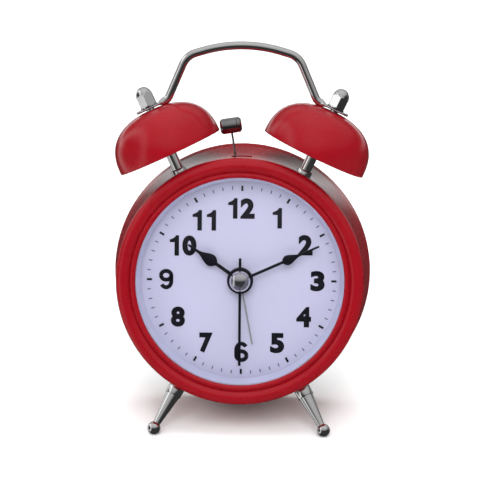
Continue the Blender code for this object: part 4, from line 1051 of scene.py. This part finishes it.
def draw_post():
    """Turned post: a flared foot on the case, a slim shank and the thread for bell and nut."""
    size = sizes()
    shank, thread = size.post_radius, 1.4 * MM
    shoulder = size.bell_standoff + size.bell_height - size.sheet - 0.15 * MM
    end = size.bell_standoff + size.bell_height + 5.5 * MM
    foot = [(0, -1.0 * MM)] + outline(shank, 0, (0.7, -1.0), (0.7, 1.2), (0.55, 1.45), (0, 1.5))
    foot += outline(shank, shoulder, (0, -0.3), (-0.3, 0)) + [(thread, shoulder)]
    return turned("post", foot + [(thread, end), (0, end)], SMALL)


def draw_cap_nut():
    """Hexagon that runs into a dome: a turned blank with its six flats cut."""
    size = sizes()
    corner = size.nut_across / 2 / math.cos(math.pi / 6)
    dome = size.nut_across * 0.5
    rise = size.nut_height - dome
    blank = [(0, 0)] + outline(corner, 0, (-0.35, 0), (0.02, 0.35))
    blank += outline(corner, NUT_WAIST, (0.02, 0)) + outline(dome, NUT_WAIST, (0.12, 0.55))
    blank += arc((0, rise), dome, 8, 84, 12) + [(0, size.nut_height)]
    made = turned("cap_nut", blank, MIDDLE)
    bpy.ops.object.mode_set(mode="EDIT")
    for side in range(6):
        turn = TURN * side / 6
        flat = Vector((math.cos(turn), math.sin(turn), 0))
        bpy.ops.mesh.select_all(action="SELECT")
        point = flat * (size.nut_across / 2)
        bpy.ops.mesh.bisect(plane_co=point, plane_no=flat, use_fill=True, clear_outer=True)
    tidy_mesh()
    return soften(made, 0.04 * MM, 1, 35.0)


def draw_bells():
    size = sizes()
    seat = size.bell_standoff + size.bell_height + NUT_SEAT
    washer = turned("washer", outline(0, 0, (1.6, 0), (3.0, 0), (3.0, -0.28), (1.6, -0.28)), SMALL)
    sharp = math.radians(20)
    models = (
        (draw_bell(), "dome_{}", "bell_{}", "red_enamel", size.bell_standoff, SMOOTH_ANGLE),
        (draw_post(), "bell_post_{}_metal", "bell_post_{}", "chrome_plate", 0.0, SMOOTH_ANGLE),
        (draw_cap_nut(), "cap_nut_{}_metal", "cap_nut_{}", "chrome_plate", seat, sharp),
        (washer, "bell_washer_{}_metal", None, "chrome_plate", seat, SMOOTH_ANGLE),
    )
    for model, name, node, finish, height, smooth in models:
        for side, word in SIDES:
            made = copy_of(model, name.format(word))
            local = along(bell_axis(side), post_root(side)) @ Matrix.Translation((0, 0, height))
            nodes = [node.format(word)] if node else []
            complete(made, finish, "case", nodes, local=local, smooth=smooth)
        bpy.data.objects.remove(model)


def crossing(point, direction, other, heading):
    """Where two lines in the plane meet."""
    away, along_it, across = (v.to_2d() for v in (other - point, direction, heading))
    return point + direction * (away.cross(across) / along_it.cross(across))


def rounded(before, corner, after, radius, steps):
    """Points on the arc that rounds a corner of a path."""
    into = (corner - before).normalized()
    out = (after - corner).normalized()
    turn = into.angle(out)
    reach = radius * math.tan(turn / 2)
    centre = corner + (out - into).normalized() * (radius / math.cos(turn / 2))
    first = corner - into * reach - centre
    last = corner + out * reach - centre
    return [centre + first.lerp(last, i / steps).normalized() * radius for i in range(steps + 1)]


HANDLE_TOP = 79.8 * MM
HANDLE_TOP_RADIUS = 47.6 * MM
HANDLE_SHOULDER = 13.4 * MM
HANDLE_LEG_TILT = math.radians(23.0)
HANDLE_LEG_FOOT = Vector((23.5, 65.95, 0)) * MM
HANDLE_NECK_BEND = 3.2 * MM
HANDLE_SHOULDER_BEND = 7.0 * MM
TAB_WALL = 1.0 * MM
TAB_HALF_WIDTH = 3.5 * MM
TAB_END = 4.9 * MM
# How far out each ring of the tab is drawn, as a share of its reach, from its rounded end inwards
TAB_STEPS = (1.0, 0.985, 0.93, 0.83, 0.70, 0.54, 0.36, 0.0, -0.30, -0.52)


def handle_stations():
    """Right half of the handle: (point, half width, half height) from the tab's end upwards."""
    size = sizes()
    rod = size.handle_radius
    reach = size.bell_standoff + size.bell_height + 0.3 * MM + TAB_WALL / 2
    root = post_root(1)
    tab = Vector((root.x, root.y, 0)) + bell_axis(1) * reach
    out = Vector((math.cos(size.bell_tilt), -math.sin(size.bell_tilt), 0))
    leg = Vector((-math.sin(HANDLE_LEG_TILT), math.cos(HANDLE_LEG_TILT), 0))
    centre = Vector((0, HANDLE_TOP - HANDLE_TOP_RADIUS, 0))
    start = math.acos(HANDLE_SHOULDER / HANDLE_TOP_RADIUS)
    touch = centre + HANDLE_TOP_RADIUS * Vector((math.cos(start), math.sin(start), 0))
    tangent = Vector((-math.sin(start), math.cos(start), 0))
    bend = crossing(tab, out, HANDLE_LEG_FOOT, leg)
    shoulder = crossing(HANDLE_LEG_FOOT, leg, touch, tangent)
    flat = TAB_WALL / 2
    stations = []
    for step in TAB_STEPS:
        beyond = max(0.0, (step - 0.28) * TAB_END)
        width = math.sqrt(max(0.0004 * MM * MM, TAB_HALF_WIDTH**2 - beyond**2))
        stations.append((tab + out * TAB_END * step, width, flat))
    neck_end = rounded(tab, bend, shoulder, HANDLE_NECK_BEND, 8)
    neck_from = tab - out * TAB_END * 0.60
    wide = TAB_HALF_WIDTH * 0.98
    steps = 7
    for i in range(steps):
        share = i / steps
        ease = 0.5 - 0.5 * math.cos(math.pi * share)
        width = wide + (rod - wide) * ease
        height = flat + (rod - flat) * ease
        stations.append((neck_from.lerp(neck_end[0], share), width, height))
    stations += [(point, rod, rod) for point in neck_end]
    shoulder_bend = rounded(bend, shoulder, touch, HANDLE_SHOULDER_BEND, 12)
    stations += [(point, rod, rod) for point in shoulder_bend]
    arch = 16
    for i in range(1, arch + 1):
        turn = start + (math.pi / 2 - start) * i / arch
        point = centre + HANDLE_TOP_RADIUS * Vector((math.cos(turn), math.sin(turn), 0))
        stations.append((point, rod, rod))
    return stations


def draw_bar(name, stations, sides):
    """Rod drawn ring by ring along a path in the plane of X and Y."""
    headings = []
    for i in range(len(stations)):
        ahead = stations[min(i + 1, len(stations) - 1)][0] - stations[max(i - 1, 0)][0]
        headings.append(math.atan2(ahead.y, ahead.x))
    deselect()
    first, width, height = stations[0]
    facing = (math.pi / 2, 0, headings[0] + math.pi / 2)
    bpy.ops.mesh.primitive_circle_add(
        vertices=sides, radius=1.0, fill_type="NGON", rotation=facing
    )
    made = named(name)
    bpy.ops.object.transform_apply(location=False, rotation=True, scale=False)
    bpy.ops.object.mode_set(mode="EDIT")
    bpy.ops.mesh.select_all(action="SELECT")
    bpy.ops.transform.resize(value=(height, height, width), center_override=(0, 0, 0))
    bpy.ops.transform.translate(value=first)
    bpy.ops.mesh.select_mode(type="VERT")
    for (here, width, height), (there, next_width, next_height), turn, next_turn in zip(
        stations, stations[1:], headings, headings[1:]
    ):
        bpy.ops.mesh.extrude_region_move(TRANSFORM_OT_translate={"value": there - here})
        swing = (next_turn - turn + math.pi) % TURN - math.pi
        if abs(swing) > 1e-6:
            bpy.ops.transform.rotate(value=-swing, orient_axis="Z", center_override=there)
        grow, widen = next_height / height, next_width / width
        if abs(grow - 1) > 1e-6 or abs(widen - 1) > 1e-6:
            bpy.ops.transform.resize(value=(grow, grow, widen), center_override=there)
    tidy_mesh()
    return made


def draw_handle():
    """Chromed rod bent to an arch, with its ends pressed flat under the cap nuts."""
    right = handle_stations()
    left = [(Vector((-point.x, point.y, 0)), *halves) for point, *halves in reversed(right[:-1])]
    made = draw_bar("handle_rod", right + left, 28)
    local = Matrix.Translation((0, 0, -sizes().bell_depth))
    return complete(made, "chrome_plate", "case", ["handle"], local=local, smooth=math.radians(50))


# ---------------------------------------------------------------- hammer


def hammer_frame():
    """Matrix of the hammer at rest, with its arm along +Y from the pivot."""
    pivot = joint_spot("hammer_swing")
    low, high = clock_box("hammer_head")
    head = (low + high) / 2
    lean = math.atan2(pivot.x - head.x, head.y - pivot.y)
    reach = math.hypot(pivot.x - head.x, head.y - pivot.y)
    place = Matrix.Translation((pivot.x, pivot.y, head.z))
    return place @ Matrix.Rotation(lean, 4, "Z"), reach


def draw_hammer():
    """Turned head with bevelled ends and a groove, on a thin spring wire."""
    local, reach = hammer_frame()
    half, radius, edge = 3.65 * MM, 2.65 * MM, 0.8 * MM
    groove = 2.15 * MM
    profile = [(0, -half), (radius - edge, -half), (radius - 0.2 * MM, -half + edge * 0.6)]
    profile += [(radius, -half + edge * 1.15)]
    profile += outline(radius, groove, (0, -0.16), (-0.14, 0), (0, 0.16))
    profile += [(radius, half - edge * 1.15), (radius - 0.2 * MM, half - edge * 0.6)]
    profile += [(radius - edge, half), (0, half)]
    head = turned("striker", profile, SMALL)
    place = local @ Matrix.Translation((0, reach, 0)) @ Matrix.Rotation(math.pi / 2, 4, "Y")
    complete(head, "hammer_steel", "hammer", ["hammer_head"], local=place)
    low, high, thin = 3.8 * MM, reach - radius + 1.5 * MM, 0.35 * MM
    wire = turned("spring_wire", [(0, low), (thin, low), (thin, high), (0, high)], 16)
    turn = Matrix.Rotation(-math.pi / 2, 4, "X")
    complete(wire, "plain_steel", "hammer", ["hammer_wire"], local=local @ turn)


# ---------------------------------------------------------------- feet

FOOT_SPREAD = math.radians(29.7)
FOOT_TILT = math.radians(19.6)
FOOT_DEPTH = 9.7 * MM
FOOT_COLLAR = 2.85 * MM


def foot_placing(side):
    radius = case_radius(FOOT_DEPTH)
    flat = Vector((side * math.sin(FOOT_SPREAD), -math.cos(FOOT_SPREAD), 0))
    root = flat * radius + Vector((0, 0, -FOOT_DEPTH))
    return along(flat * math.cos(FOOT_TILT) + Vector((0, 0, math.sin(FOOT_TILT))), root)


def draw_feet():
    """Turned feet: a ribbed collar on the case, a long cone and a ball."""
    size = sizes()
    start = 1.2 * MM
    ball, neck = size.foot_ball, 1.25 * MM
    grip = math.degrees(math.asin(neck / ball))
    sphere = [(r, h) for h, r in arc((size.foot_length, 0), ball, 180 - grip, 0, 22)][:-1]
    collar = FOOT_COLLAR
    profile = [(0, -0.4 * MM)] + outline(collar, 0, (-0.15, -0.4))
    profile += outline(
        collar, start, (0, 0), (0, 1.1), (-0.16, 1.3), (0, 1.5), (-0.08, 3.8), (-0.2, 4.1)
    )
    profile += [(collar * 0.88, start + 4.15 * MM)]
    model = turned("foot", profile + sphere + [(0, size.foot_length + ball)], SMALL)
    for side, word in SIDES:
        made = copy_of(model, f"foot_{word}_metal")
        complete(made, "chrome_plate", "case", ["foot_" + word], local=foot_placing(side))
    bpy.data.objects.remove(model)


# ---------------------------------------------------------------- rear

KNOB_HEIGHT = 6.0 * MM
COVER_REAR = -34.0 * MM
# Height that the knobs and the screws' heads stand on
FITTING_SEAT = COVER_REAR - 0.3 * MM


def ribbed(made, ribs, low, high, radius, factor):
    """Presses grooves between the ribs of a turned piece, between two heights."""
    bpy.ops.object.mode_set(mode="EDIT")

    def in_groove(co):
        turn = (math.atan2(co.y, co.x) / TURN * ribs) % 1.0
        return low < co.z < high and math.hypot(co.x, co.y) > radius and 0.3 < turn < 0.95

    select_points(made, in_groove)
    bpy.ops.transform.resize(value=(factor, factor, 1), center_override=(0, 0, 0))
    bpy.ops.object.mode_set(mode="OBJECT")
    return made


def draw_knobs():
    """Setting knobs: a plain skirt, a ribbed barrel and a dished end."""
    size = sizes()
    radius, tall, ribs = size.knob_radius, KNOB_HEIGHT, 30
    profile = [(0, 0), (1.65 * MM, 0)] + outline(
        radius, 0, (0.45, 0), (0.5, -0.1), (0.5, -0.8), (0.4, -0.95), (0, -1.1), (0, -1.25)
    )
    profile += outline(
        radius, -tall, (-0.1, 0.75), (-0.2, 0.45), (-0.4, 0.12), (-0.75, 0), (-1.5, 0), (-2.0, 0.35)
    )
    profile += outline(0, -tall, (1.0, 0.55), (0, 0.55))
    model = turned("knob", profile, ribs * 8)
    ribbed(model, ribs, -tall + 0.3 * MM, -1.15 * MM, radius - 1.0 * MM, 0.955)
    for word in ("time", "alarm"):
        made = copy_of(model, word + "_set_grip")
        place = joint_spot(word + "_knob_turn") + Vector((0, 0, FITTING_SEAT))
        local = Matrix.Translation(place)
        complete(made, "black_plastic", word + "_setting", [word + "_set_knob"], local=local)
    bpy.data.objects.remove(model)


def slab(name, low, high):
    """Block between two corners, for a piece that is worked further."""
    deselect()
    bpy.ops.mesh.primitive_cube_add(size=1)
    made = named(name)
    size = Matrix.Diagonal((*(high - low), 1.0))
    return settle(made, Matrix.Translation((low + high) / 2) @ size)


def block(name, x, y, half_x, half_y, bottom, top, edge, segments=2):
    """Softened block about a point of the plane of X and Y, between two heights."""
    half = Vector((half_x, half_y, 0))
    low, high = Vector((x, y, bottom)) - half, Vector((x, y, top)) + half
    return soften(slab(name, low, high), edge, segments)


def draw_door():
    """Battery door with grip ribs and a latch tongue."""
    low, high = clock_box("battery_door")
    made = slab("battery_hatch", low, high)
    soften(made, 0.25 * MM, 3)
    ribs = []
    count, pitch, soft = 6, 1.35 * MM, 0.12 * MM
    x = (low.x + high.x) / 2
    for i in range(count):
        y = high.y - 2.4 * MM - pitch * i
        half = 7 * MM - 0.9 * i * MM
        bottom, top = low.z - 0.28 * MM, low.z + 0.3 * MM
        ribs.append(block("rib", x, y, half, 0.3 * MM, bottom, top, soft))
    y, bottom, top = high.y - 0.2 * MM, low.z + 0.1 * MM, low.z + 0.7 * MM
    tongue = block("tongue", x, y, 5 * MM, 0.4 * MM, bottom, top, soft)
    made = joined("battery_hatch", [made, *ribs, tongue])
    return complete(made, "black_plastic", "battery_lid", ["battery_door"])


def draw_switch():
    """Slide of the alarm switch: a flange inside the cover and a ribbed nib."""
    low, high = clock_box("alarm_switch")
    centre = (low + high) / 2
    flange = slab("alarm_slide_nib", Vector((low.x, low.y, high.z - 0.8 * MM)), high)
    soften(flange, 0.1 * MM)
    x, y = centre.x, centre.y
    nib = block("nib", x, y, 1.9 * MM, 1.2 * MM, low.z, high.z - 0.3 * MM, 0.2 * MM, 3)
    bottom, top = low.z - 0.25 * MM, low.z + 0.3 * MM
    ribs = [
        block("ridge", x + step * 1.1 * MM, y, 0.22 * MM, 1.0 * MM, bottom, top, 0.1 * MM)
        for step in (-1, 0, 1)
    ]
    made = joined("alarm_slide_nib", [flange, nib, *ribs])
    return complete(made, "white_plastic", "alarm_slide", ["alarm_switch"])


def draw_screws():
    """Pan-head screws of the rear cover, with a cross recess."""
    radius, shank = 2.4 * MM, 1.2 * MM
    head = [(0, 6.7 * MM), (shank, 6.7 * MM), (shank, 0), (radius, 0), (radius, -0.3 * MM)]
    head += arc((radius - 0.75 * MM, -0.35 * MM), 0.75 * MM, 0, -80, 6) + [(0, -1.15 * MM)]
    model = turned("screw", head, SMALL)
    for turn in (0, 1):
        half = Vector((1.25 * MM, 0.28 * MM, 0.7 * MM))
        if turn:
            half = Vector((half.y, half.x, half.z))
        middle = Vector((0, 0, -1.15 * MM))
        combine(model, slab("recess", middle - half, middle + half), "DIFFERENCE")
    soften(model, 0.04 * MM, 1, 50.0)
    for number in range(1, 5):
        node = f"rear_cover_screw_{number}"
        low, high = clock_box(node)
        made = copy_of(model, f"cover_screw_{number}")
        centre = (low + high) / 2
        turn = Matrix.Rotation(0.7 * number, 4, "Z")
        place = Matrix.Translation((centre.x, centre.y, FITTING_SEAT)) @ turn
        complete(made, "plain_steel", "case", [node], local=place)
    bpy.data.objects.remove(model)


def draw_cover_trim():
    """Raised rims moulded round the knobs and the edge of the rear cover."""
    rim = clock_box("rear_cover")[1].x
    face = COVER_REAR
    edge = outline(rim, face, (-1.5, 0.1), (-1.45, -0.25), (-1.2, -0.4))
    edge += outline(rim, face, (-0.5, -0.4), (-0.2, -0.2), (-0.1, 0.1))
    parts = [turned("cover_trim", edge, LARGE)]
    inner = sizes().knob_radius + 1.1 * MM
    collar = outline(
        inner, face, (0, 0.1), (0, -0.45), (0.2, -0.6), (0.6, -0.6), (0.8, -0.45), (0.85, 0.1)
    )
    for joint in ("time_knob_turn", "alarm_knob_turn"):
        made = turned("collar", collar, MIDDLE)
        parts.append(settle(made, Matrix.Translation(joint_spot(joint))))
    return complete(joined("cover_trim", parts), "black_plastic", "case")


# ---------------------------------------------------------------- pieces kept as they are

KEPT_FINISHES = {
    "white_plastic": (
        "chassis", "movement_front_housing", "movement_back_plate", "minute_wheel", "hour_wheel",
        "alarm_wheel", "time_set_arbor", "alarm_set_arbor", "step_wheel",
    ),
    "brass": (
        "cannon_pinion", "second_arbor", "third_wheel", "centre_wheel", "motor_crank",
        "alarm_contact_spring",
    ),
    "plain_steel": (
        "rotor", "stator", "quartz_crystal", "hammer_motor", "hammer_pivot_pin", "post_nut_left",
        "post_nut_right", "foot_nut_left", "foot_nut_right", "battery_flat_contact",
        "battery_spring_contact",
    ),
    "copper_winding": ("coil",),
    "board": ("circuit_board",),
    "battery_sleeve": ("battery",),
    "black_plastic": ("rear_cover", "hammer_lever"),
}


def paint_kept_nodes():
    for finish, nodes in KEPT_FINISHES.items():
        for node in nodes:
            for slot in frame["nodes"][node].material_slots:
                slot.material = finish_of(finish)


# ---------------------------------------------------------------- stage

CAMERA_DISTANCE = 800 * MM
CAMERA_LENS = 177.0
CAMERA_ELEVATION = math.radians(22.0)
CAMERA_SIDE = math.radians(1.8)
AIM_ABOVE = 14.5 * MM
AIM_RIGHT = 0.15 * MM

FLOOR_WIDTH = 6
# Where each lamp hangs, and its power in watts
LAMPS = {
    "overhead": ((0.0, 0.25, 1.2), 12.0),
    "front": ((0.0, -1.0, 1.1), 15.2),
    "left_fill": ((-1.1, -0.5, 0.4), 4.0),
    "right_fill": ((1.1, -0.4, 0.4), 3.0),
}
LAMP_WIDTH = 1.2
# Brightness of the room from the horizon to the ceiling
ROOM_RAMP = ((0.0, 0.04), (0.22, 0.06), (0.45, 0.42), (1.0, 0.68))


def hang_lamps():
    """Round studio lamps that face the clock, seen neither directly nor in reflections."""
    low, high = CAD_BOX
    for name, (place, power) in LAMPS.items():
        bpy.ops.object.light_add(type="AREA", location=place)
        lamp = bpy.context.object
        lamp.name = name
        lamp.data.shape = "DISK"
        lamp.data.size = LAMP_WIDTH
        lamp.data.energy = power
        facing = Vector((low + high) / 2) - Vector(place)
        lamp.rotation_euler = facing.to_track_quat("-Z", "Y").to_euler()
        lamp.visible_camera = False
        lamp.visible_glossy = False


def draw_floor():
    deselect()
    bpy.ops.mesh.primitive_plane_add(size=1, enter_editmode=True)
    floor = named("paper_sweep")
    bpy.ops.transform.resize(value=(FLOOR_WIDTH, FLOOR_WIDTH, 1))
    bpy.ops.object.mode_set(mode="OBJECT")
    floor.data.materials.append(finish_of("studio_floor"))
    floor.visible_glossy = False


def light_the_room():
    """Quiet room: pale overhead, a low glow behind the clock and a tall window on the left."""
    world = bpy.data.worlds.new("studio")
    bpy.context.scene.world = world
    world.use_nodes = True
    room = Nodes(world.node_tree, "Background")
    direction = room.node("ShaderNodeTexCoord", output="Generated")
    side, back, height = [
        room.node("ShaderNodeSeparateXYZ", None, {"Vector": direction}, axis) for axis in "XYZ"
    ]
    overhead = room.node("ShaderNodeValToRGB", {"ramp": ROOM_RAMP}, {"Fac": height})
    horizon = (1.0 - abs(height + 0.04) * 8.0).clamp()
    glow = back.clamp() ** 2.0 * horizon * 1.5
    window = (1.0 - abs(side + 0.78) * 7.0).clamp()
    room.link("Color", overhead + glow + window)


def aim_camera():
    """Long lens, a little above the clock and to its right."""
    back = Vector((
        math.sin(CAMERA_SIDE) * math.cos(CAMERA_ELEVATION),
        -math.cos(CAMERA_SIDE) * math.cos(CAMERA_ELEVATION),
        math.sin(CAMERA_ELEVATION),
    ))
    facing = (-back).to_track_quat("-Z", "Y")
    aim = ORIGIN + facing @ Vector((AIM_RIGHT, AIM_ABOVE, 0))
    bpy.ops.object.camera_add(location=aim + back * CAMERA_DISTANCE)
    camera = bpy.context.object
    camera.rotation_euler = facing.to_euler()
    camera.data.lens = CAMERA_LENS
    camera.data.clip_end = 20.0
    bpy.context.scene.camera = camera


# ---------------------------------------------------------------- operators


class CLOCK_OT_case(bpy.types.Operator):
    """Draw the flared case and the bezel"""

    bl_idname = "clock.case"
    bl_label = "Case and Bezel"
    bl_options = {"REGISTER", "UNDO"}

    def execute(self, context):
        draw_case()
        draw_bezel()
        return {"FINISHED"}


class CLOCK_OT_face(bpy.types.Operator):
    """Draw the glass, the dial, its ring, the numerals and the minute marks"""

    bl_idname = "clock.face"
    bl_label = "Face"
    bl_options = {"REGISTER", "UNDO"}

    def execute(self, context):
        draw_dial()
        draw_numerals()
        draw_marks("hour_marks", 12, HOUR_MARK, "dial_ink")
        draw_marks("minute_marks", 60, MINUTE_MARK, "pale_ink", skip=12)
        draw_lens()
        return {"FINISHED"}


class CLOCK_OT_hands(bpy.types.Operator):
    """Draw the four hands and the cap over them"""

    bl_idname = "clock.hands"
    bl_label = "Hands"
    bl_options = {"REGISTER", "UNDO"}

    def execute(self, context):
        draw_hands()
        return {"FINISHED"}


class CLOCK_OT_bells(bpy.types.Operator):
    """Draw the bells, their posts, washers and cap nuts"""

    bl_idname = "clock.bells"
    bl_label = "Bells"
    bl_options = {"REGISTER", "UNDO"}

    def execute(self, context):
        draw_bells()
        return {"FINISHED"}


class CLOCK_OT_handle(bpy.types.Operator):
    """Draw the carrying handle"""

    bl_idname = "clock.handle"
    bl_label = "Handle"
    bl_options = {"REGISTER", "UNDO"}

    def execute(self, context):
        draw_handle()
        return {"FINISHED"}


class CLOCK_OT_hammer(bpy.types.Operator):
    """Draw the hammer's head and wire"""

    bl_idname = "clock.hammer"
    bl_label = "Hammer"
    bl_options = {"REGISTER", "UNDO"}

    def execute(self, context):
        draw_hammer()
        return {"FINISHED"}


class CLOCK_OT_feet(bpy.types.Operator):
    """Draw the two feet"""

    bl_idname = "clock.feet"
    bl_label = "Feet"
    bl_options = {"REGISTER", "UNDO"}

    def execute(self, context):
        draw_feet()
        return {"FINISHED"}


class CLOCK_OT_rear(bpy.types.Operator):
    """Draw the knobs, the battery door, the alarm slide, the screws and the cover's rims"""

    bl_idname = "clock.rear"
    bl_label = "Rear"
    bl_options = {"REGISTER", "UNDO"}

    def execute(self, context):
        draw_knobs()
        draw_door()
        draw_switch()
        draw_screws()
        draw_cover_trim()
        return {"FINISHED"}


class CLOCK_OT_works(bpy.types.Operator):
    """Finish the movement, the motor and the other inner pieces"""

    bl_idname = "clock.works"
    bl_label = "Works"
    bl_options = {"REGISTER", "UNDO"}

    def execute(self, context):
        paint_kept_nodes()
        return {"FINISHED"}


class CLOCK_OT_stage(bpy.types.Operator):
    """Set the floor, the lights and the camera"""

    bl_idname = "clock.stage"
    bl_label = "Stage"
    bl_options = {"REGISTER", "UNDO"}

    def execute(self, context):
        draw_floor()
        light_the_room()
        bpy.context.scene.view_settings.view_transform = "Standard"
        hang_lamps()
        aim_camera()
        return {"FINISHED"}


class CLOCK_PT_panel(bpy.types.Panel):
    """Sidebar list of the clock's operators and settings"""

    bl_label = "Alarm Clock"
    bl_idname = "CLOCK_PT_panel"
    bl_space_type = "VIEW_3D"
    bl_region_type = "UI"
    bl_category = "Clock"

    def draw(self, context):
        for operator in OPERATORS:
            self.layout.operator(operator.bl_idname)
        for group in (context.scene.clock_sizes, context.scene.clock_colours):
            for name in group.bl_rna.properties.keys():
                if name not in ("rna_type", "name"):
                    self.layout.prop(group, name)


OPERATORS = (
    CLOCK_OT_case,
    CLOCK_OT_face,
    CLOCK_OT_hands,
    CLOCK_OT_bells,
    CLOCK_OT_handle,
    CLOCK_OT_hammer,
    CLOCK_OT_feet,
    CLOCK_OT_rear,
    CLOCK_OT_works,
    CLOCK_OT_stage,
)
CLASSES = (CLOCK_PG_sizes, CLOCK_PG_colours, *OPERATORS, CLOCK_PT_panel)


def register():
    for item in CLASSES:
        bpy.utils.register_class(item)
    bpy.types.Scene.clock_sizes = bpy.props.PointerProperty(type=CLOCK_PG_sizes)
    bpy.types.Scene.clock_colours = bpy.props.PointerProperty(type=CLOCK_PG_colours)


def unregister():
    del bpy.types.Scene.clock_sizes
    del bpy.types.Scene.clock_colours
    for item in reversed(CLASSES):
        bpy.utils.unregister_class(item)


def main():
    register()
    bpy.ops.clock.case()
    bpy.ops.clock.face()
    bpy.ops.clock.hands()
    bpy.ops.clock.bells()
    bpy.ops.clock.handle()
    bpy.ops.clock.hammer()
    bpy.ops.clock.feet()
    bpy.ops.clock.rear()
    bpy.ops.clock.works()
    bpy.ops.clock.stage()


if __name__ == "__main__":
    main()
